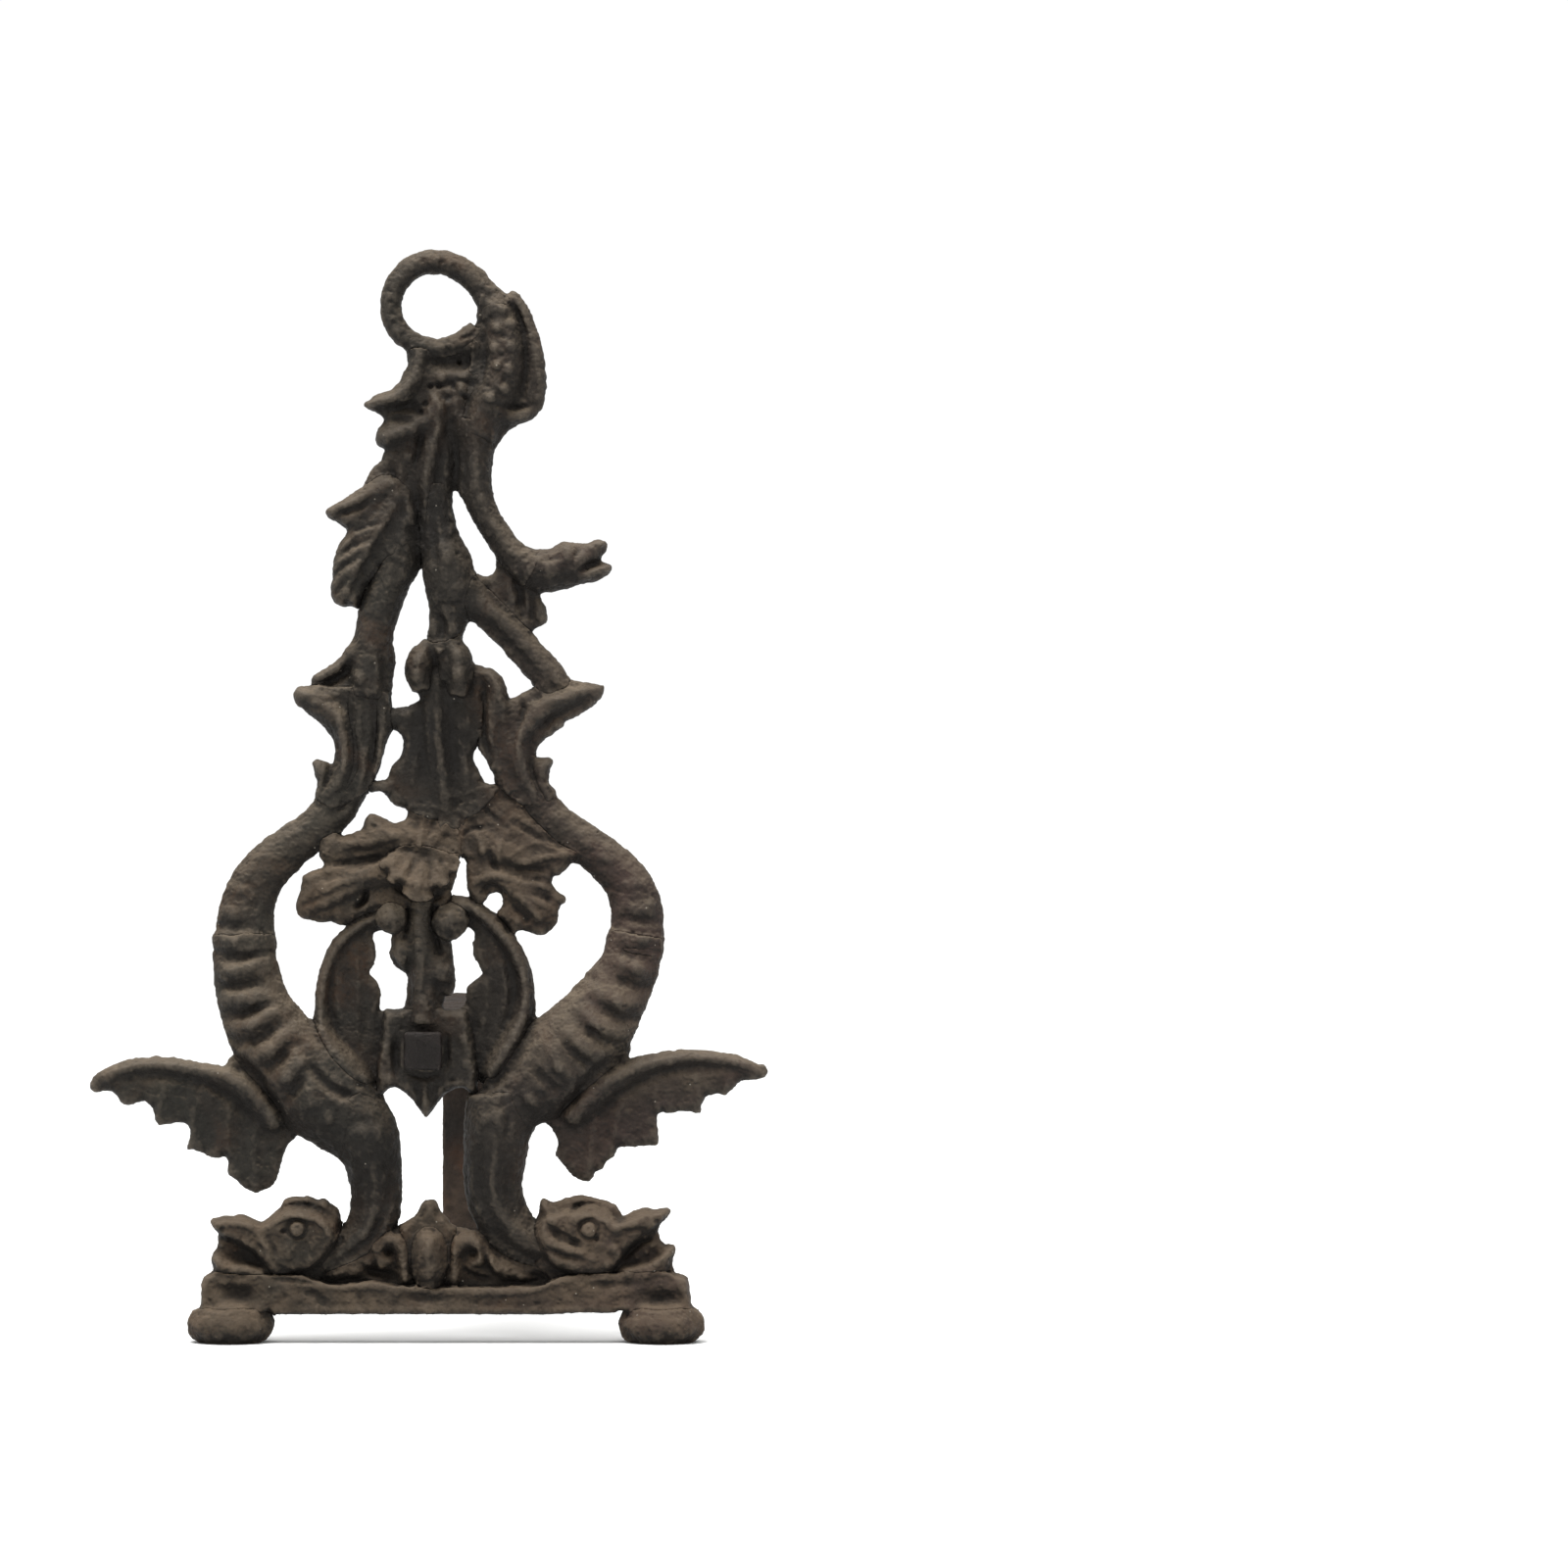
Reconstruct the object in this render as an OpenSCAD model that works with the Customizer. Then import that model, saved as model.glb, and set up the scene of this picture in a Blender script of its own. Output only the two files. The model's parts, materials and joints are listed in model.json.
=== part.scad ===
// Ornamental cast-iron fire dog (andiron): two sea dragons stand head down on a low bar with bun
// feet, a wyvern climbs between their tails and curls its own tail into a ring, and an iron billet
// bar is bolted on behind to carry the logs.
//
// Frame: +X to the right, the relief faces -Y, +Z up. The origin is on the floor, under the middle
// of the whole fire dog.  Outlines are written as [x, z] points on the face of the casting.

/* [Casting] */
// Thickness of the thin leaves and wings
leaf_t = 7; // [5:0.5:9]
// Gap between the back plane of the casting and the back of the leaves
leaf_back = 2; // [0:0.5:4]
// Depth of the low bar that carries the ornament
base_t = 16; // [12:1:18]
// Depth of the dragons' chests
chest_t = 20; // [16:1:21]
// Depth of the dragons' tails
tail_t = 14; // [10:1:16]

/* [Feet] */
// Widest diameter of a bun foot
foot_d = 31.6; // [28:0.2:34]
// Height of a bun foot
foot_h = 12; // [11:0.5:13]

/* [Log rest] */
// Side of the square billet bar
bar_side = 20; // [16:1:22]
// Length of the billet bar behind the casting
bar_l = 345; // [250:5:420]
// Thickness of the rear leg, front to back
leg_t = 14; // [12:1:20]
// Width of the forged rear foot
rear_foot_w = 44; // [30:1:60]

/* [Bolt] */
// Across flats of the square bolt head
head_af = 14.3; // [12:0.1:16]
// Thickness of the bolt head
head_t = 8; // [6:0.5:9]
// Diameter of the bolt shank
shank_d = 9.5; // [8:0.5:11]
// Length of the bolt shank
shank_l = 40; // [32:1:50]

/* [Hidden] */

iron = [0.27, 0.24, 0.21];
iron_dark = [0.21, 0.19, 0.17];
iron_brown = [0.36, 0.31, 0.25];
iron_bolt = [0.31, 0.27, 0.28];

// Places shared by several sub-parts
foot_r = foot_d / 2;
foot_y = -8;
foot_left_x = -72.5;
foot_right_x = 85.5;
bolt_x = -1.5;
bolt_z = 107;
shield_t = 13;
shank_gap = 0.25;
fit_gap = 0.05;
leg_y = bar_l - 30;
tenon_d = 11;
rear_foot_h = 7;
rear_foot_l = 34;
// The casting's back plane is moved forwards, so that the origin is under the middle
middle_y = (bar_l + foot_y - foot_r) / 2;

// Curves ------------------------------------------------------------------------------------
function flat(p) = [p[0], p[1]];
function unit(v) = norm(v) == 0 ? v : v / norm(v);

// Direction of the outline at point i: none where the third value marks a corner
function heading(p, i) =
    let (n = len(p))
    p[i][2] == 1 ? [0, 0] : unit(flat(p[(i + 1) % n]) - flat(p[(i + n - 1) % n]));

// Cubic between a and b, leaving along u and arriving along v
function cubic(a, b, u, v, t) =
    let (t2 = t * t, t3 = t2 * t)
    (2 * t3 - 3 * t2 + 1) * a + (t3 - 2 * t2 + t) * u + (3 * t2 - 2 * t3) * b + (t3 - t2) * v;

// Closed smooth outline through [x, z] points
function outline(p, steps = 3) = [
    for (i = [0 : len(p) - 1])
        let (j = (i + 1) % len(p), a = flat(p[i]), b = flat(p[j]), reach = norm(b - a))
        for (k = [0 : steps - 1])
            cubic(a, b, reach * heading(p, i), reach * heading(p, j), k / steps)
];

// Slope of an open path of any width of point
function slope(p, i) =
    let (n = len(p) - 1)
    i == 0 ? p[1] - p[0] : i == n ? p[n] - p[n - 1] : (p[i + 1] - p[i - 1]) / 2;

// Open smooth path through [x, z, half width] points
function path(p, steps) = concat(
    [for (i = [0 : len(p) - 2]) for (k = [0 : steps - 1])
        cubic(p[i], p[i + 1], slope(p, i), slope(p, i + 1), k / steps)],
    [p[len(p) - 1]]);

// Solids ------------------------------------------------------------------------------------
// Flat plate with the given outline, from depth back to depth front ahead of the back plane
module plate(points, back, front, steps = 3)
    translate([0, -back, 0])
        rotate([90, 0, 0])
            linear_extrude(front - back)
                polygon(outline(points, steps));

// One ring of a limb: round at the front and nearly flat behind
function limb_ring(q, side, front, back, y, sides) = [
    for (k = [0 : sides - 1])
        let (a = 360 * k / sides, c = cos(a), s = sin(a), swell = s > 0 ? front : back)
        [q[0] + side[0] * q[2] * c, y - swell * s, q[1] + side[1] * q[2] * c]
];

// Limb swept along [x, z, half width] points; deep is its front bulge per unit of half width
module limb(points, y, deep, back, sides = 12, steps = 3) {
    q = path(points, steps);
    n = len(q);
    rings = [for (i = [0 : n - 1])
        let (t = unit(flat(i == n - 1 ? q[i] - q[i - 1] : q[i + 1] - q[max(i - 1, 0)])))
        limb_ring(q[i], [t[1], -t[0]], deep * q[i][2], back, y, sides)];
    skin = [for (i = [0 : n - 2]) for (k = [0 : sides - 1])
        let (m = (k + 1) % sides, a = i * sides, b = a + sides)
        each [[a + k, b + m, b + k], [a + k, a + m, b + m]]];
    end = (n - 1) * sides;
    first = [for (k = [1 : sides - 2]) [0, k + 1, k]];
    last = [for (k = [1 : sides - 2]) [end, end + k, end + k + 1]];
    polyhedron([for (r = rings) each r], concat(skin, first, last), convexity = 6);
}

// Moves a sub-part from the back plane of the casting to its place over the origin
module place()
    translate([0, -middle_y, 0])
        children();

module iron_part(shade = iron)
    color(shade)
        place()
            children();

// Base --------------------------------------------------------------------------------------
module bun_foot(x)
    iron_part(iron_brown)
        translate([x, foot_y, 0])
            rotate_extrude($fn = 64)
                polygon([
                    [0, 0],
                    [foot_r - 5, 0],
                    [foot_r - 2.2, 1.4],
                    [foot_r - 0.5, 4],
                    [foot_r, foot_h * 0.54],
                    [foot_r - 0.6, foot_h * 0.77],
                    [foot_r - 2.6, foot_h - 0.4],
                    [foot_r - 4, foot_h],
                    [0, foot_h]]);

module left_foot()
    bun_foot(foot_left_x);

module right_foot()
    bun_foot(foot_right_x);

module base_bar()
    iron_part(iron_brown) {
        plate([
            [-83, foot_h, 1], [-83.5, 18], [-82.5, 23.5], [-79, 25.5], [-70, 25], [-58, 24.5],
            [-46, 24.5], [-40, 22.5], [-34, 21], [-20, 22.5], [-12, 21], [0, 20.5], [14, 20],
            [30, 20.5], [42, 21], [48, 24], [56, 25], [70, 25.5], [84, 26], [90, 25.5], [94, 24.5],
            [95.5, 22], [96, 17], [96.5, foot_h, 1], [70, foot_h, 1], [69.5, 11, 1], [50, 10.5],
            [0, 10.5], [-57, 10.5, 1], [-58, foot_h, 1]], 0, base_t);
        for (x = [foot_left_x, foot_right_x])
            translate([x, foot_y, foot_h])
                cylinder(h = 3, r1 = foot_r - 4, r2 = foot_r - 6, $fn = 64);
    }

// Heads -------------------------------------------------------------------------------------
module left_dragon_head()
    iron_part(iron_brown) {
        // Whole head with the floor of the open mouth
        plate([
            [-77, 40], [-79, 42.5], [-80.5, 44.5, 1], [-79, 45.6], [-74, 46.2], [-68, 46.6],
            [-65, 45.8], [-61.5, 44.2], [-59.5, 45], [-57, 47.5], [-54.5, 49.5], [-53, 52],
            [-50.5, 53.2], [-47, 53], [-44, 53.7], [-41.5, 52.3], [-38, 52.6], [-35.5, 50.5],
            [-33, 48.5], [-32.3, 43.5], [-33, 37], [-37, 30], [-40, 23, 1], [-76, 23, 1],
            [-78, 25.5], [-79, 28], [-79.8, 30.5], [-79, 33], [-77.7, 33.6, 1]], leaf_back, 11);
        // Upper jaw and cheek
        plate([
            [-78, 41], [-80, 44, 1], [-78, 45], [-68, 46], [-61, 44], [-56, 46], [-50, 48.5],
            [-42, 47], [-35, 43], [-34, 38], [-38, 31], [-46, 27], [-57, 26], [-59, 29, 1],
            [-64, 33], [-70, 37], [-75, 39]], 10, 17);
        // Lower jaw
        plate([
            [-59, 27, 1], [-65, 28], [-71, 30], [-77, 33, 1], [-79, 31], [-78, 27], [-74, 24.5],
            [-60, 24]], 10, 16);
        translate([-47.5, -15, 42])
            sphere(r = 4.6, $fn = 32);
    }

module right_dragon_head()
    iron_part(iron_brown) {
        plate([
            [40.5, 46.5], [41, 52.3], [42.5, 52.7], [46, 51], [50.5, 53], [54, 53.7], [59, 53.3],
            [64, 52], [68, 50.5], [69.8, 48.5], [71, 45.8, 1], [75, 48], [79.5, 49.3], [83, 48.7],
            [86, 49.3], [88.5, 49], [89, 47.3], [87, 45.3], [85, 43], [84.5, 40], [85.5, 37],
            [87, 35.6], [90, 35.8], [91, 33.5], [89.5, 30], [89.7, 26, 1], [46, 23, 1], [39, 30],
            [37, 38]], leaf_back, 11);
        plate([
            [41, 44], [46, 47], [54, 48.5], [62, 47.5], [70, 44.5], [78, 47], [87, 48], [85, 44],
            [81, 41], [76, 38], [71, 32], [69, 29, 1], [66, 26], [54, 26], [46, 29], [41, 36]],
            10, 17);
        plate([
            [69, 26.5, 1], [76, 28], [83, 30], [87, 34.5], [90.3, 34.5], [89, 29], [86, 26.5],
            [76, 24.5]], 10, 16);
        translate([59, -15, 41.5])
            sphere(r = 4.6, $fn = 32);
    }

// Bud between the heads ---------------------------------------------------------------------
module base_hood()
    iron_part(iron_brown)
        plate([
            [-10.5, 42.5], [-6, 45.5], [-3.5, 48.5], [-2, 51.5], [0.5, 52.5], [3, 51.5], [4.5, 48],
            [7.5, 44.5], [10, 41], [10, 28, 1], [-10.5, 28, 1]], leaf_back, 12);

module base_pod()
    iron_part(iron_brown)
        limb([[0.5, 42.5, 2.5], [0.5, 38, 6], [0.5, 31, 6.9], [0.5, 25, 6.2], [0.5, 20, 4]],
            -8, 1.6, 4);

module left_scroll()
    iron_part(iron_brown) {
        plate([
            [-44, 19, 1], [-42, 26], [-33, 32], [-22, 38.5], [-14, 41], [-10, 42], [-5, 36],
            [-4, 19, 1]], leaf_back, 9);
        limb([[-8, 22, 2.6], [-8.5, 31, 3], [-11, 36.5, 3.4], [-15.5, 38, 3.4], [-18.5, 34, 3],
            [-17, 30, 2.4], [-13.5, 30, 2]], -9, 1.6, 3);
        limb([[-37, 24, 1.5], [-29, 26, 2.8], [-22, 30, 2.8], [-19, 33, 2]], -9, 1.3, 3);
    }

module right_scroll()
    iron_part(iron_brown) {
        plate([
            [4, 19, 1], [6, 38], [10, 41.5], [15, 41.3], [20, 38.5], [30, 33], [44, 28],
            [49, 19, 1]], leaf_back, 9);
        limb([[9, 22, 2.6], [9.5, 31, 3], [12, 36.5, 3.6], [17, 37.5, 3.6], [20, 33, 3.2],
            [18, 29.5, 2.4], [15, 30, 2]], -9, 1.6, 3);
        limb([[38, 24, 1.5], [30, 26, 2.8], [24, 29, 2.8], [22, 32, 2]], -9, 1.3, 3);
    }

// Dragons -----------------------------------------------------------------------------------
module left_dragon_neck()
    iron_part()
        limb([[-30, 88, 10.5], [-23.3, 77, 12], [-20.3, 66, 10.5], [-19.2, 56, 9.4],
            [-20, 46.5, 9.2], [-24.5, 38, 8], [-31, 32, 6.5], [-39, 29, 5]], -6, 1.1, 5);

module right_dragon_neck()
    iron_part()
        limb([[25, 91, 11], [25.2, 80, 12.3], [24.5, 69, 11.6], [23.7, 58, 10.7], [26, 48, 10.2],
            [31.5, 40, 9], [38, 35, 7.5], [46, 32, 5]], -6, 1.1, 5);

module left_dragon_body()
    iron_part()
        limb([[-67.8, 149, 10.9], [-67.2, 137.5, 11.9], [-64, 123.5, 13.2], [-57, 110.5, 15.2],
            [-46.5, 99, 17.2], [-36, 88.5, 17.3], [-27.5, 79.5, 14.3], [-22, 72, 11]],
            -6, (chest_t - 6) / 17.8, 5, 14);

module right_dragon_body()
    iron_part()
        limb([[76.2, 149, 9.9], [73.8, 138, 10.9], [67.8, 127, 12.9], [60.3, 116, 15.2],
            [51.3, 106, 16.8], [41, 97, 15.8], [31.5, 88.5, 13], [26, 79, 11]],
            -6, (chest_t - 6) / 17.3, 5, 14);

module left_dragon_tail()
    iron_part()
        limb([[-67.6, 145, 11.4], [-67, 157, 10.2], [-63.4, 168, 9.4], [-55.6, 177.3, 8.5],
            [-45.2, 185.4, 7.5], [-36, 193.5, 7.6], [-30, 203, 7.6], [-26.4, 214, 7.8],
            [-24.5, 227, 8.6], [-23.5, 238, 9.2]], -5.5, (tail_t - 5.5) / 11.4, 4.5);

module right_dragon_tail()
    iron_part()
        limb([[75.2, 143, 10.1], [76.6, 153, 9.8], [75, 163.5, 9.2], [69.8, 172, 8.2],
            [62.4, 178.7, 7.6], [54, 184.7, 7.3], [45.4, 191.3, 7], [38.5, 199.7, 6.8],
            [33.5, 210, 7], [30, 220, 6.9], [28, 231, 6.6]], -5.5, (tail_t - 5.5) / 10.3, 4.5);

// Wings -------------------------------------------------------------------------------------
module left_outer_wing()
    iron_part(iron_dark) {
        plate([
            [-70.5, 105, 1], [-73.5, 104], [-75, 101.3, 1], [-80, 101.5], [-87, 103],
            [-95, 104.3], [-102, 104.5], [-108, 104], [-114, 102.3], [-119.4, 99.9], [-123.3, 96.8],
            [-124.5, 94], [-124, 92], [-122.5, 91.3], [-118, 91.8], [-115, 91], [-113.5, 88, 1],
            [-111, 86.8], [-108, 86.8], [-104.5, 88.2], [-102.5, 87], [-101, 84.5], [-100.5, 81],
            [-99, 79, 1], [-93, 80.2], [-89.5, 80], [-87.7, 78], [-87.7, 75], [-89, 70.5, 1],
            [-83, 69.3], [-80, 67.5], [-77, 67.3], [-74.5, 67.8], [-73.7, 66.5], [-74, 63],
            [-73.5, 61], [-70.5, 59], [-68, 56.3], [-65, 55.2], [-63.3, 54.3, 1], [-61, 55.3],
            [-57.5, 57], [-55.5, 60], [-54.5, 64], [-53, 69], [-51, 73], [-49, 75], [-45, 82],
            [-48, 92], [-58, 102]], leaf_back, leaf_back + leaf_t - 1);
        // Rolled front edge, thickening into the arm
        limb([[-122.5, 93.8, 1.4], [-117, 97, 2.6], [-108, 100.5, 3], [-97, 101, 3],
            [-86, 99.5, 3.2], [-77, 97.5, 4], [-70, 95, 5.2], [-62, 88, 5.4], [-54.5, 79.5, 5]],
            -6, 1.4, 3, 10);
    }

module right_outer_wing()
    iron_part(iron_dark) {
        plate([
            [72, 110, 1], [73.6, 108], [72.8, 102.8, 1], [77, 103.3], [81, 105], [88, 106.7],
            [97, 107.1], [106, 106.1], [114, 104.2], [120, 102], [123.6, 100], [124.5, 98.5],
            [123, 96.7], [120, 96], [115, 95.5], [111.4, 92.8], [109.3, 90.2, 1], [104, 90.5],
            [101, 89], [100.3, 83.2, 1], [94.5, 84.5], [89, 83.7], [84, 83.7], [83.8, 80],
            [84.5, 75], [84.2, 71.8, 1], [78, 71.8], [74, 71.2], [69.5, 71.3], [68, 68.3],
            [65, 66], [64, 63.3], [61.4, 62], [59, 58.8, 1], [54.4, 59.3], [50, 64], [46.6, 68.3],
            [46.3, 70], [47.5, 73], [45.5, 77.5], [42.5, 81.5], [43, 92], [56, 104]],
            leaf_back, leaf_back + leaf_t - 1);
        limb([[122.5, 98.6, 1.4], [117, 101, 2.5], [108, 103.3, 2.8], [97, 104, 2.8],
            [86, 102.8, 3.2], [76, 100, 4.4], [67, 95.5, 5.4], [59, 89, 5.6], [51, 81, 5]],
            -6, 1.4, 3, 10);
    }

module left_inner_wing()
    iron_part(iron_dark) {
        plate([
            [-42, 117], [-42, 122], [-41.5, 128], [-40.3, 135], [-38.5, 141], [-35.5, 147],
            [-32, 151], [-27, 155], [-22, 157.5], [-15, 158.5, 1], [-14, 151, 1], [-19, 150.2],
            [-20.8, 149], [-19.2, 143], [-20.5, 138.5], [-22.3, 135, 1], [-19, 132.3],
            [-18.2, 130], [-17.5, 127], [-17.7, 121.3, 1], [-9, 121.3, 1], [-13, 108], [-17, 97],
            [-20, 92.5], [-25, 93], [-32, 100], [-38, 109]], leaf_back, leaf_back + leaf_t - 2);
        limb([[-21.5, 94.5, 3.2], [-27, 98.5, 4.4], [-33, 105, 4.6], [-38, 112.5, 3.8],
            [-39.4, 120, 2.6], [-39.2, 128, 2.4], [-37.8, 135.5, 2.4], [-35.2, 142.5, 2.4],
            [-31, 148.2, 2.4], [-25.5, 152.7, 2.4], [-20, 155.3, 2.4], [-15, 156.5, 2.2]],
            -6, 2.2, 3, 10);
    }

module right_inner_wing()
    iron_part(iron_dark) {
        plate([
            [39, 118], [39, 125], [38.5, 131], [37, 138.5], [32.5, 146.5], [27, 154], [20, 160],
            [14, 163.3], [8, 163.8, 1], [10, 156], [15, 151.5], [16.8, 149.5], [16, 143.5],
            [17, 140], [20, 135, 1], [14.5, 130.7], [13.5, 129.5], [14, 126], [11, 120],
            [13, 108], [17, 98], [21, 94], [26, 95.5], [31, 102], [35.5, 109]],
            leaf_back, leaf_back + leaf_t - 2);
        limb([[22.5, 97, 3.2], [26, 103, 4.2], [30.5, 110.5, 4.2], [34, 118, 3.6],
            [35.8, 126, 3], [35.3, 133, 3], [32.8, 140.5, 3.2], [28.3, 148, 3.2], [22, 155, 3],
            [14.5, 159.8, 3], [8, 161, 2.5]], -6, 2, 3, 10);
    }

// Tail leaves -------------------------------------------------------------------------------
module left_tail_leaf()
    iron_part() {
        plate([
            [-30, 239.5], [-42, 240.3], [-48.3, 240], [-49.8, 237.3], [-48.5, 234], [-45, 231],
            [-41, 227.8, 1], [-38, 225], [-35.5, 222], [-34.2, 218.5], [-33.8, 213],
            [-34.6, 211, 1], [-38, 212.8], [-41, 213.8], [-43, 212.7, 1], [-41.5, 208],
            [-40.5, 204], [-41.8, 200.2], [-34, 196], [-26, 200], [-21.5, 204], [-20, 207],
            [-17.5, 212], [-15, 221], [-13, 226], [-14, 232], [-17, 239]], 3, 11);
        limb([[-48, 237, 2], [-42, 234.5, 3.6], [-36, 231, 4.5], [-31, 224, 4.2],
            [-29.5, 214, 3.8], [-32.5, 205, 3.4], [-37, 198.5, 2.6]], -8, 1.5, 4);
    }

module right_tail_leaf()
    iron_part() {
        plate([
            [44, 241.8], [52, 242.4], [58, 241.7], [64.7, 240.6, 1], [63.5, 236.5], [60, 233],
            [55, 229.5], [50, 227.3], [49.5, 225.6, 1], [45, 222.5], [41.5, 220], [39, 216.5],
            [38, 213.4, 1], [42, 214.3], [45, 214], [46, 212.8, 1], [44.5, 209], [44, 205],
            [46.2, 200.3], [38, 197], [30, 200], [24.8, 205], [23, 209.5], [20.5, 214],
            [18.3, 218], [19.5, 228], [17, 240], [15.5, 247], [21.5, 247.3], [25, 245.5],
            [27.5, 241.5], [29.3, 235.8, 1], [33, 237], [38, 239.7]], 3, 11);
        limb([[62, 239.3, 1.6], [54, 237, 3.6], [45, 233.5, 4.6], [38, 228, 4.6],
            [33, 219, 4], [34.5, 209, 3.6], [40, 200.5, 2.8]], -8, 1.5, 4);
        // Curled inner lip
        limb([[18, 244, 2.5], [23, 243, 3.4], [25.5, 237, 3.6], [24, 228, 3.4], [22, 219, 2.4]],
            -8, 1.5, 4);
    }

// Centre ------------------------------------------------------------------------------------
module centre_stem()
    iron_part() {
        plate([
            [-9.5, 119, 1], [-8.3, 127], [-8, 134.3], [-9.5, 135.7], [-12, 137.5], [-13.3, 140.5],
            [-13.7, 147], [-12, 153], [-8, 162], [4, 162], [5, 152], [8.5, 146], [9, 140],
            [10, 132], [8.5, 127], [5.6, 126.3], [6, 119, 1]], leaf_back, 10);
        limb([[-2, 164, 4.2], [-2.5, 150, 4], [-1.5, 138, 4.6], [-1.5, 128, 4.4], [-2, 117, 5.5]],
            -9, 1.3, 4);
        translate([4, -9, 136])
            sphere(r = 5.6, $fn = 32);
        translate([-9.5, -8, 142.5])
            sphere(r = 4.8, $fn = 32);
    }

module berry(x, z, r)
    iron_part()
        translate([x, -9.5, z])
            sphere(r = r, $fn = 40);

module left_berry()
    berry(-13.3, 155.5, 5.8);

module right_berry()
    berry(8, 154, 6.6);

module shield_boss()
    iron_part(iron_dark)
        difference() {
            plate([
                [-16, 122, 1], [-17.5, 110], [-19, 98], [-18.5, 90, 1], [-16, 92], [-13, 93.3],
                [-10, 92], [-7, 90], [-4, 86], [-1, 81.7, 1], [2, 85.5], [5.3, 90], [8, 92],
                [11, 93.3], [14, 92.5], [17.5, 90.5, 1], [18, 98], [16.5, 110], [14, 122, 1]],
                0, shield_t);
            translate([bolt_x, 1, bolt_z])
                rotate([90, 0, 0])
                    cylinder(h = shield_t + 2, d = shank_d + 2 * shank_gap, $fn = 48);
        }

module cluster_left_leaf()
    iron_part(iron_brown) {
        plate([
            [-34, 186.7], [-32, 185], [-29.5, 185.8], [-26, 186], [-24.5, 188], [-22.5, 192.8],
            [-20, 193.8], [-16, 191.8], [-12.5, 190], [-10, 190.8], [-8, 192.5], [-7, 196, 1],
            [4, 195], [10, 189], [12, 182], [11, 176], [10, 170], [8.3, 165], [7, 159.5, 1],
            [-18, 158, 1], [-22, 157.5], [-28, 154.5], [-31.5, 152.6], [-35, 154], [-40, 153.8],
            [-44, 154.8], [-47, 155.8], [-48.5, 158], [-48.5, 161], [-47, 165], [-46.5, 168],
            [-46, 171], [-42, 173], [-38, 175], [-39.5, 177], [-40, 180], [-39.5, 184, 1]],
            3, 12);
        limb([[-45, 159, 2], [-37, 163, 4.5], [-27, 168, 5], [-16, 172, 5], [-8, 174, 4]],
            -10, 1.1, 5);
        limb([[-33, 181, 2.5], [-22, 184, 4.5], [-10, 185, 5], [2, 184, 4.5]], -10, 0.9, 5);
    }

module cluster_front_lobe()
    iron_part(iron_brown)
        plate([
            [-14, 179], [-15, 174], [-10, 168.5], [-8, 164.3], [-3, 161.5], [2, 163], [5, 167],
            [9, 172], [9.3, 175.5], [7.5, 178.5], [1, 181], [-7, 181.8]], 11, 18);

module cluster_right_leaf()
    iron_part(iron_brown) {
        plate([
            [12, 200, 1], [25, 204, 1], [33, 198], [40, 190], [48, 183], [56.5, 179, 1],
            [53.5, 177], [51, 173.5], [48, 171], [45.5, 170.3], [45.5, 168], [47, 165.5],
            [49.5, 163.8], [50.8, 162, 1], [48.2, 160, 1], [47.7, 157], [47, 153.5], [45, 151],
            [42, 149], [37, 150.3], [34, 151], [31, 149.5, 1], [28, 154], [25, 156.8],
            [26.7, 159.5], [27.3, 163], [25, 164.7], [22, 163.7], [21, 161.5], [18, 160.5, 1],
            [14.7, 164.5], [13.9, 170], [13.5, 176.3], [11, 180], [11, 188]], 3, 12);
        limb([[16, 186, 4], [26, 180, 5], [37, 177, 4], [51, 178.5, 1.8]], -10, 0.9, 5);
        limb([[20, 172, 3.5], [30, 168, 5], [38, 161, 5.4], [43, 155, 3.6]], -10, 1, 5);
    }

module centre_leaf()
    iron_part(iron_dark) {
        plate([
            [-5, 247], [-4, 238], [-3.4, 235.4, 1], [-8, 233], [-13, 232], [-16, 229, 1],
            [-14, 225.5], [-11.5, 224], [-9.3, 221], [-9.2, 217.5], [-10.5, 214.5], [-13, 212],
            [-14.5, 208.5], [-16, 206], [-21, 205.5, 1], [-22, 202, 1], [-16.3, 201.2],
            [-14.5, 198.5], [-12, 196.5], [-7, 195.3, 1], [0, 192], [13, 192], [20, 196],
            [26, 203.8, 1], [21, 204.9], [19, 208.5], [16.9, 212], [16.3, 216], [17.8, 219],
            [20, 226], [20, 236], [17, 246], [8, 249]], leaf_back, 10);
        limb([[2.5, 245, 3], [2, 232, 4.2], [3, 218, 4.5], [5, 206, 4], [7, 195, 3]],
            -8, 1.2, 3);
        limb([[-3, 228, 3], [-5, 218, 4], [-7, 208, 4.5], [-6, 199, 3]], -7, 1, 3);
        limb([[13, 228, 3], [12.5, 217, 3], [13.5, 207, 4], [14, 198, 3]], -7, 1, 3);
    }

// Wyvern and the branches round it ----------------------------------------------------------
module left_branch()
    iron_part() {
        plate([
            [-4, 298], [-2.9, 284], [-5.5, 279.5], [-8.5, 273], [-11, 266.5], [-12.7, 260],
            [-13, 255], [-12, 250.5], [-12.8, 246], [-13.2, 241], [-14.2, 236], [-14, 232.5, 1],
            [-24, 232], [-32, 239, 1], [-42.7, 240, 1], [-42.7, 243.8], [-36, 248], [-32, 251],
            [-29, 255.5], [-27, 261], [-26, 267], [-22, 276], [-17, 288], [-13, 298]],
            leaf_back, 9);
        limb([[-9, 300, 5], [-11.5, 286, 7], [-16.5, 273, 7.5], [-19.5, 261, 6.8],
            [-21, 249, 7], [-22, 236, 6.5]], -8, 1, 4);
        limb([[-41, 242, 2], [-36, 245, 2.4], [-31, 249, 2.6], [-27, 255, 2.5]], -8, 1.6, 3);
    }

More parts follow.
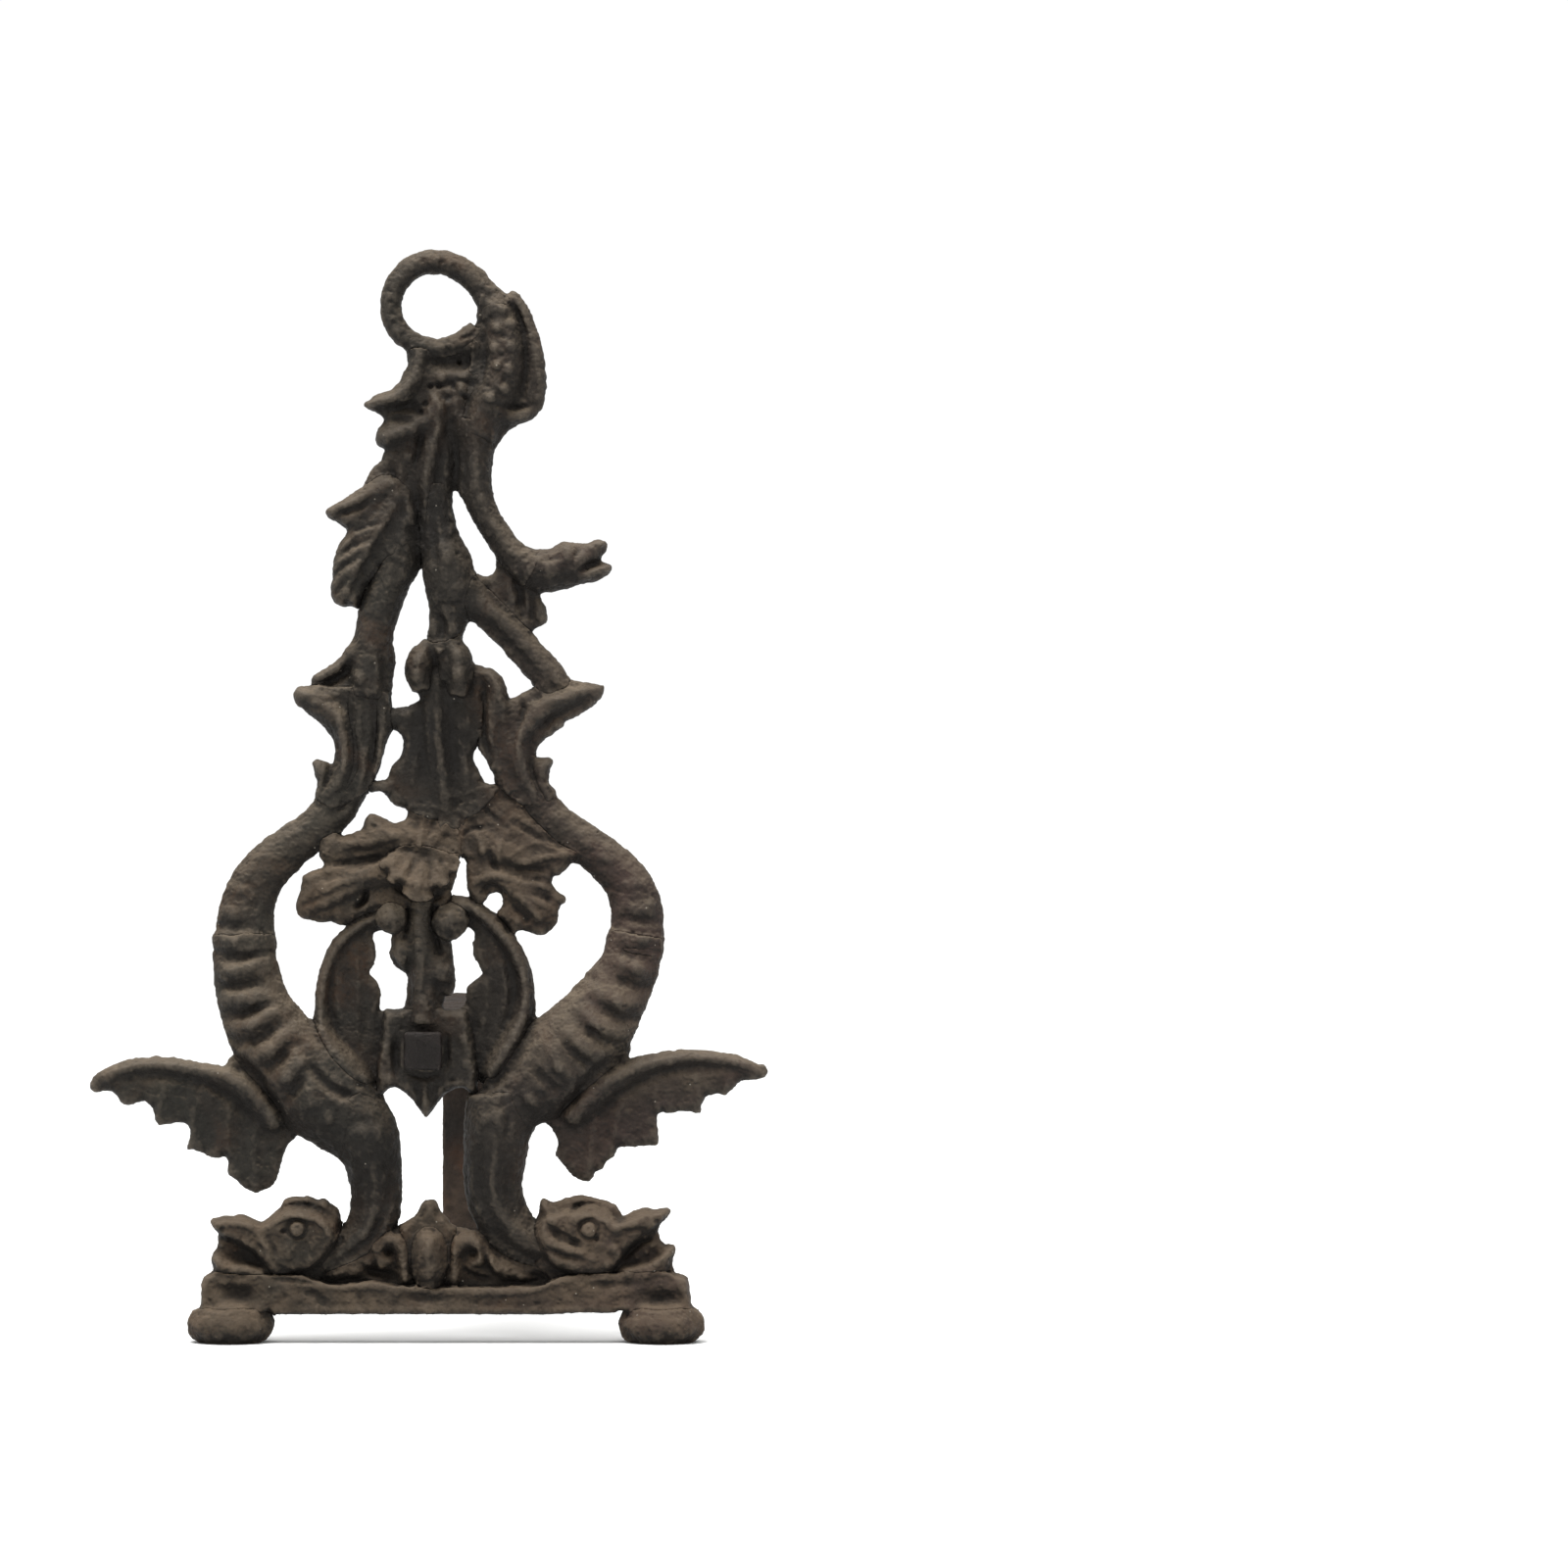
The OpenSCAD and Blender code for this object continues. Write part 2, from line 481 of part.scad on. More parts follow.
module right_branch()
    iron_part()
        limb([[11, 276.5, 7], [19.2, 269.8, 6.4], [27.6, 261.8, 6.1], [35, 253.9, 6.1],
            [41.5, 246.9, 6.2], [46.2, 240.6, 6], [47, 235, 4.5]], -7.5, 1, 5);

module upper_left_leaf()
    iron_part() {
        plate([
            [-23, 314], [-27, 311.6], [-32, 308.4], [-36.8, 305.8], [-38, 304, 1], [-36.5, 302],
            [-31, 299], [-29.3, 298, 1], [-31, 295], [-34, 290], [-35, 285], [-35.5, 278],
            [-35.5, 273], [-34, 270.3], [-31.5, 269.3], [-28, 269.7], [-26, 268.5, 1],
            [-24, 273], [-21, 278.5], [-18, 281], [-15, 285.5], [-9, 287], [-6, 293],
            [-4, 303], [-8, 314], [-16, 318]], 3, 12);
        limb([[-30, 273, 3], [-28, 282, 4.5], [-22, 293, 4.5], [-15, 304, 4], [-9, 313, 3]],
            -9, 1.2, 4);
        limb([[-36, 304.2, 1.6], [-29, 306, 3.2], [-20, 310, 3.4], [-12, 316, 3]], -9, 1.3, 4);
    }

module upper_right_leaf()
    iron_part()
        plate([
            [17.5, 281.2, 1], [21, 280.8], [24, 282], [25, 286], [25.2, 289, 1], [34, 290],
            [38, 280], [40.2, 274.5], [42.5, 270], [43.7, 266], [43, 263.5], [40, 262],
            [37, 260, 1], [28, 262], [20, 268], [15, 273]], leaf_back, 10);

module wyvern_claw()
    iron_part() {
        limb([[0.5, 256, 2.4], [-2.6, 251, 4.8], [-3.6, 245, 4.9], [-2.6, 238.5, 3.4]], -8, 1.8, 4);
        limb([[8.5, 257, 3], [10.8, 251, 5.2], [11.3, 244, 5.2], [11, 236.5, 3]], -8, 1.8, 4);
        limb([[4, 256, 2.8], [4.3, 249, 2.8], [4.5, 242, 2]], -8, 2, 4);
    }

module wyvern_leg()
    iron_part()
        limb([[2, 314, 5.5], [2.8, 303, 6], [4.8, 293, 7.4], [7.2, 283, 9.7], [8, 273, 8.6],
            [7.3, 265, 7.1], [5.8, 258.5, 6.2], [5, 254, 5.5]], -6.5, 1.15, 4.5);

module wyvern_trunk()
    iron_part(iron_dark) {
        plate([
            [-8, 364, 1], [-7.5, 359], [-9.5, 355], [-12, 350.5], [-15, 348.5], [-20, 347],
            [-24.5, 343, 1], [-18, 340], [-16, 338, 1], [-18.5, 334.5], [-19.5, 331],
            [-18.5, 329], [-16.3, 327, 1], [-17, 324], [-20, 321], [-22.5, 317.5],
            [-23, 314, 1], [-24, 306], [-18, 298], [-6, 293], [3, 292], [8.5, 300], [7.8, 308],
            [9.5, 312.5], [12.3, 309, 1], [18, 316], [23, 330], [23, 345], [21, 360],
            [17, 367, 1], [4, 363.5]], leaf_back, 11);
        limb([[-22.5, 343.4, 1.6], [-15, 344.5, 3], [-8, 348, 3.4], [-4, 355, 3.4],
            [-3, 363, 3]], -9, 1.6, 4);
        limb([[-16, 331.5, 3], [-9, 333.5, 4], [0, 338, 4.4], [5, 345, 4]], -9, 1.3, 4);
        limb([[-1, 300, 2.5], [-2, 312, 3.2], [0, 325, 3.8], [4, 338, 3.6]], -9, 1.3, 4);
        limb([[8, 316, 2.8], [9.5, 328, 3.4], [11, 342, 3.4], [12, 354, 3]], -9, 1.2, 4);
    }

module wyvern_back()
    iron_part() {
        plate([
            [30.5, 386.3, 1], [34, 383], [37, 378.5], [39.5, 372], [41.5, 365], [42.8, 358],
            [43.1, 352.5], [42.7, 346], [41.5, 342], [39.5, 339.5], [36, 337], [30.5, 335],
            [27, 331], [23.7, 327, 1], [15, 330], [14, 345], [16, 360], [17.3, 372, 1],
            [19, 380], [24, 386], [28.8, 383.2, 1]], leaf_back, 11);
        limb([[23, 381, 5], [26.5, 372, 6.5], [27.5, 361, 7.5], [25.5, 350, 8], [21, 340, 7.5],
            [18, 331, 6.5]], -8, 1.3, 4);
        // Rolled lower lip
        limb([[25, 339.8, 1.8], [31, 338.6, 2.4], [37, 340, 2]], -10, 1.6, 3);
    }

module wyvern_neck()
    iron_part()
        limb([[17, 338, 6], [17.6, 324, 6], [17.4, 313.5, 5.8], [20.3, 304.3, 5.2],
            [25.5, 295.6, 5], [31.5, 287.8, 5.8], [38.5, 282.8, 7]], -7.5, 1.4, 5);

module wyvern_head()
    iron_part() {
        plate([
            [36, 288.6], [40, 288.6], [44, 289.8], [47, 292], [50, 293.5], [54, 292.8],
            [58, 292.7], [61, 294], [64, 293.8], [65.6, 292.3], [64.5, 290.5], [63.2, 288.5],
            [62.8, 286.5, 1], [65, 285.3], [67.3, 284.3], [66.8, 282.3], [65, 280.5],
            [62, 278.8], [57, 278], [51, 276], [46, 275], [40, 274.7, 1], [34, 278], [33, 286]],
            3, 12);
        limb([[37, 283, 6.5], [44, 283.5, 7], [50, 285.5, 7], [56, 286.5, 6], [62, 290, 3],
            [64.5, 291.8, 1.5]], -8, 1.1, 4);
        translate([51.5, -14, 288])
            sphere(r = 2.2, $fn = 32);
    }

module tail_ring()
    iron_part()
        limb([[25, 378, 6], [20.6, 384.5, 4.9], [16, 390, 4.7], [9.5, 394.4, 4.6], [2, 396, 4.5],
            [-5.5, 394, 4.4], [-11, 388.7, 4.2], [-13.7, 381.5, 4], [-12.8, 374, 4],
            [-8.5, 368.2, 3.9], [-2, 365.2, 3.5], [5, 364.6, 3.4], [12, 366.7, 3.8],
            [17.5, 371, 3.6]], -8, 1.15, 4.4);

// Hardware ----------------------------------------------------------------------------------
module square_bolt()
    iron_part(iron_bolt)
        translate([bolt_x, -shield_t, bolt_z]) {
            rotate([90, 0, 0])
                linear_extrude(head_t)
                    square(head_af, center = true);
            rotate([-90, 0, 0])
                cylinder(h = shank_l, d = shank_d, $fn = 48);
        }

module billet_bar()
    iron_part(iron_dark)
        difference() {
            translate([bolt_x - bar_side / 2, 0, bolt_z - bar_side / 2])
                cube([bar_side, bar_l, bar_side]);
            // Tapped hole for the bolt
            translate([bolt_x, -1, bolt_z])
                rotate([-90, 0, 0])
                    cylinder(h = shank_l - shield_t + 4, d = shank_d + 2 * fit_gap, $fn = 48);
            // Hole for the tenon of the rear leg
            translate([bolt_x, leg_y, bolt_z - bar_side / 2 - 1])
                cylinder(h = bar_side + 2, d = tenon_d + 2 * fit_gap, $fn = 48);
        }

module rear_leg()
    iron_part(iron_dark)
        translate([bolt_x, leg_y, 0]) {
            // Forged foot
            translate([-rear_foot_w / 2, -rear_foot_l / 2, 0])
                cube([rear_foot_w, rear_foot_l, rear_foot_h]);
            translate([-bar_side / 2, -leg_t / 2, rear_foot_h])
                cube([bar_side, leg_t, bolt_z - bar_side / 2 - rear_foot_h]);
            // Tenon through the bar
            translate([0, 0, bolt_z - bar_side / 2])
                cylinder(h = bar_side, d = tenon_d, $fn = 48);
        }

left_foot();
right_foot();
base_bar();
left_dragon_head();
right_dragon_head();
base_hood();
base_pod();
left_scroll();
right_scroll();
left_dragon_neck();
right_dragon_neck();
left_dragon_body();
right_dragon_body();
left_dragon_tail();
right_dragon_tail();
left_outer_wing();
right_outer_wing();
left_inner_wing();
right_inner_wing();
left_tail_leaf();
right_tail_leaf();
centre_stem();
left_berry();
right_berry();
shield_boss();
cluster_left_leaf();
cluster_right_leaf();
cluster_front_lobe();
centre_leaf();
left_branch();
right_branch();
upper_left_leaf();
upper_right_leaf();
wyvern_claw();
wyvern_leg();
wyvern_trunk();
wyvern_back();
wyvern_neck();
wyvern_head();
tail_ring();
square_bolt();
billet_bar();
rear_leg();
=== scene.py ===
"""Looks of the fire dog: a rough iron casting, its hardware, the light and the camera.

The CAD nodes of the casting become front and back height maps. Relief is drawn on those maps, each
node turns into a volume, and the volumes are blended as poured metal is. Each piece is then meshed
from the shared volume, so neighbours meet with no gap and every piece stays a closed solid.
"""

import json

import bpy
import numpy as np
import openvdb as vdb
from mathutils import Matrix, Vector


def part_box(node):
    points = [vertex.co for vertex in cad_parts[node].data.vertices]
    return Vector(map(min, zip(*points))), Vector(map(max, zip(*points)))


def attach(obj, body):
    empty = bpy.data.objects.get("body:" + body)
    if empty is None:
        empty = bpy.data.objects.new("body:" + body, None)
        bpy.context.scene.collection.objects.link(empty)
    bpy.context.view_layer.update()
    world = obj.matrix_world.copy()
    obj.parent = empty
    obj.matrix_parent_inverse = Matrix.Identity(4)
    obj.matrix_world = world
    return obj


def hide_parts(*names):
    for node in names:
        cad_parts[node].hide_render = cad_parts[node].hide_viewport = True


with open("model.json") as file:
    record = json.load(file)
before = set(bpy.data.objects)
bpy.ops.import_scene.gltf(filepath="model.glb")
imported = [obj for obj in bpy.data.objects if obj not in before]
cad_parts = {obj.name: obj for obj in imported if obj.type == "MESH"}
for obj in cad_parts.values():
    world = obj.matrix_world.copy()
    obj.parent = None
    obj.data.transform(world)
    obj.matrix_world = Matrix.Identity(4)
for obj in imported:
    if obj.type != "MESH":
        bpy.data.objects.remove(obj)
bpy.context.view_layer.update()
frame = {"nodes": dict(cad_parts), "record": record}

MM = 0.001
SEED = 11

# Driving sizes of the carved volume, in millimetres
CELL = 0.5
PAD = 8
REACH = 5.0
BLEND = 2.6
DIVE = 2.0

HARDWARE = ("square_bolt", "billet_bar", "rear_leg")
CASTING = [name for name in sorted(frame["nodes"]) if name not in HARDWARE]

# How far the edges round over, where it isn't the usual EDGE
EDGE = 3.2
EDGES = {
    "left_foot": 0, "right_foot": 0, "base_bar": 1.6, "base_pod": 1.0,
    "left_dragon_neck": 0.8, "right_dragon_neck": 0.8, "left_dragon_body": 0.8,
    "right_dragon_body": 0.8, "left_dragon_tail": 0.8, "right_dragon_tail": 0.8,
    "left_berry": 0.6, "right_berry": 0.6, "right_branch": 0.8, "wyvern_leg": 0.8,
    "wyvern_neck": 0.8, "tail_ring": 0.6, "shield_boss": 2.4, "wyvern_claw": 0.8,
}


# Mesh helpers -------------------------------------------------------------------------------
def of_vertices(mesh, label):
    """Places ("co") or normals ("normal") of a mesh's vertices, a row each."""
    values = np.empty(len(mesh.vertices) * 3, np.float32)
    mesh.vertices.foreach_get(label, values)
    return values.reshape(-1, 3)


def add_layer(mesh, label, values):
    """A value for each vertex that the materials can read."""
    layer = mesh.attributes.new(label, "FLOAT", "POINT")
    layer.data.foreach_set("value", values.astype(np.float32))


# Maps and volumes ---------------------------------------------------------------------------
def node_box(node):
    """Lowest and highest corner of a CAD node, in millimetres."""
    low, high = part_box(node)
    return np.array(low) / MM, np.array(high) / MM


lows, highs = zip(*(node_box(name) for name in CASTING))
GRID_LOW = np.floor(np.min(lows, axis=0)) - PAD * CELL
COUNT = (np.ceil((np.max(highs, axis=0) - GRID_LOW) / CELL) + PAD).astype(int)
HEIGHT = -(GRID_LOW[1] + CELL * np.arange(COUNT[1]))


def window(node, margin=REACH):
    """Slices of the x and z cells round a node."""
    low, high = node_box(node)
    first = np.floor((low - margin - GRID_LOW) / CELL).astype(int).clip(0)
    last = np.ceil((high + margin - GRID_LOW) / CELL).astype(int).clip(max=COUNT - 1)
    return slice(first[0], last[0] + 1), slice(first[2], last[2] + 1)


def cell_places(across, up):
    """Where the cells of a window are, in millimetres: a column of x and a row of z."""
    return ((GRID_LOW[0] + CELL * np.arange(across.start, across.stop))[:, None],
            (GRID_LOW[2] + CELL * np.arange(up.start, up.stop))[None, :])


def depth_maps(node, across, up):
    """Front and back of a node in its window, as height towards the viewer.

    The front is -inf where there is no metal.
    """
    mesh = frame["nodes"][node].data
    mesh.calc_loop_triangles()
    points = of_vertices(mesh, "co")
    corners = np.empty(len(mesh.loop_triangles) * 3, np.int32)
    mesh.loop_triangles.foreach_get("vertices", corners)
    places = (points / MM - GRID_LOW) / CELL
    places[:, 1] = -points[:, 1] / MM
    places -= (across.start, 0, up.start)
    shape = (across.stop - across.start, up.stop - up.start)
    front, back = np.full(shape, -np.inf), np.full(shape, np.inf)
    for (xa, ya, za), (xb, yb, zb), (xc, yc, zc) in places[corners].reshape(-1, 3, 3).astype(float):
        turn = (xb - xa) * (zc - za) - (xc - xa) * (zb - za)
        left, right = int(np.ceil(min(xa, xb, xc))), int(max(xa, xb, xc))
        low, high = int(np.ceil(min(za, zb, zc))), int(max(za, zb, zc))
        if abs(turn) < 1e-9 or right < left or high < low:
            continue
        x, z = np.mgrid[left:right + 1, low:high + 1]
        share_b = ((x - xa) * (zc - za) - (xc - xa) * (z - za)) / turn
        share_c = ((xb - xa) * (z - za) - (x - xa) * (zb - za)) / turn
        inside = (share_b >= -1e-6) & (share_c >= -1e-6) & (share_b + share_c <= 1 + 1e-6)
        height = ya + share_b * (yb - ya) + share_c * (yc - ya)
        part = np.s_[left:right + 1, low:high + 1]
        front[part] = np.where(inside, np.maximum(front[part], height), front[part])
        back[part] = np.where(inside, np.minimum(back[part], height), back[part])
    return front, back


def blurred(values, spread):
    """Gaussian blur of an array along all its axes; spread is in cells."""
    half = int(np.ceil(3 * spread))
    weights = np.exp(-0.5 * (np.arange(-half, half + 1) / spread) ** 2)
    weights /= weights.sum()
    for axis in range(values.ndim):
        margins = [(half, half) if a == axis else (0, 0) for a in range(values.ndim)]
        wide = np.pad(values, margins, mode="edge")
        total = np.zeros_like(values)
        for k, weight in enumerate(weights.astype(values.dtype)):
            total += weight * wide[(slice(None),) * axis + (slice(k, k + values.shape[axis]),)]
        values = total
    return values


def distance_to(empty, limit):
    """Distance in cells from each cell to the nearest one where empty is True, up to limit."""
    count = empty.shape[0]
    index = np.arange(count)[:, None]
    before = np.maximum.accumulate(np.where(empty, index, -count * 9), axis=0)
    after = np.minimum.accumulate(np.where(empty, index, count * 9)[::-1], axis=0)[::-1]
    gap = np.minimum(index - before, after - index).clip(max=limit + 1).astype(float) ** 2
    best = gap.copy()
    for k in range(1, limit + 1):
        best[:, k:] = np.minimum(best[:, k:], gap[:, :-k] + k * k)
        best[:, :-k] = np.minimum(best[:, :-k], gap[:, k:] + k * k)
    return np.sqrt(best)


def rim_distance(mask, limit=16):
    """Signed distance in millimetres to the edge of a mask, positive inside, with smoothed steps."""
    signed = distance_to(~mask, limit) - distance_to(mask, limit)
    return blurred(signed - 0.5 * np.sign(signed), 1.0) * CELL


def extended(values, mask, spread):
    """Values blurred inside a mask and carried on outside it."""
    result = np.zeros(mask.shape)
    filled = np.zeros(mask.shape, bool)
    for wide in (spread, 3 * spread, 9 * spread):
        weight = blurred(mask.astype(float), wide)
        value = blurred(np.where(mask, values, 0.0), wide) / np.maximum(weight, 1e-9)
        new = ~filled & (weight > 0.02)
        result[new] = value[new]
        filled |= new
    result[~filled] = values[mask].mean()
    return result


def noise_tile(count, finest, coarsest, seed):
    """Repeating block of noise, count cells a side, with a spread of 1.

    Its waves run from finest to coarsest, in millimetres.
    """
    random = np.random.default_rng(SEED + seed)
    spectrum = np.fft.rfftn(random.standard_normal((count, count, count)))
    side, last = np.fft.fftfreq(count, CELL), np.fft.rfftfreq(count, CELL)
    pitch = np.sqrt(side[:, None, None] ** 2 + side[None, :, None] ** 2 + last ** 2) + 1e-6
    middle, width = np.sqrt(finest * coarsest), np.log(coarsest / finest) / 2
    tile = np.fft.irfftn(spectrum * np.exp(-((np.log(pitch * middle) / width) ** 2)), s=(count,) * 3)
    return (tile / tile.std()).astype(np.float32)


def tiled(tile, across, up):
    """A noise tile repeated over the cells of a window, for all depths."""
    n = len(tile)
    along = [np.arange(s.start, s.stop) % n for s in (across, slice(0, COUNT[1]), up)]
    return tile[np.ix_(*along)]


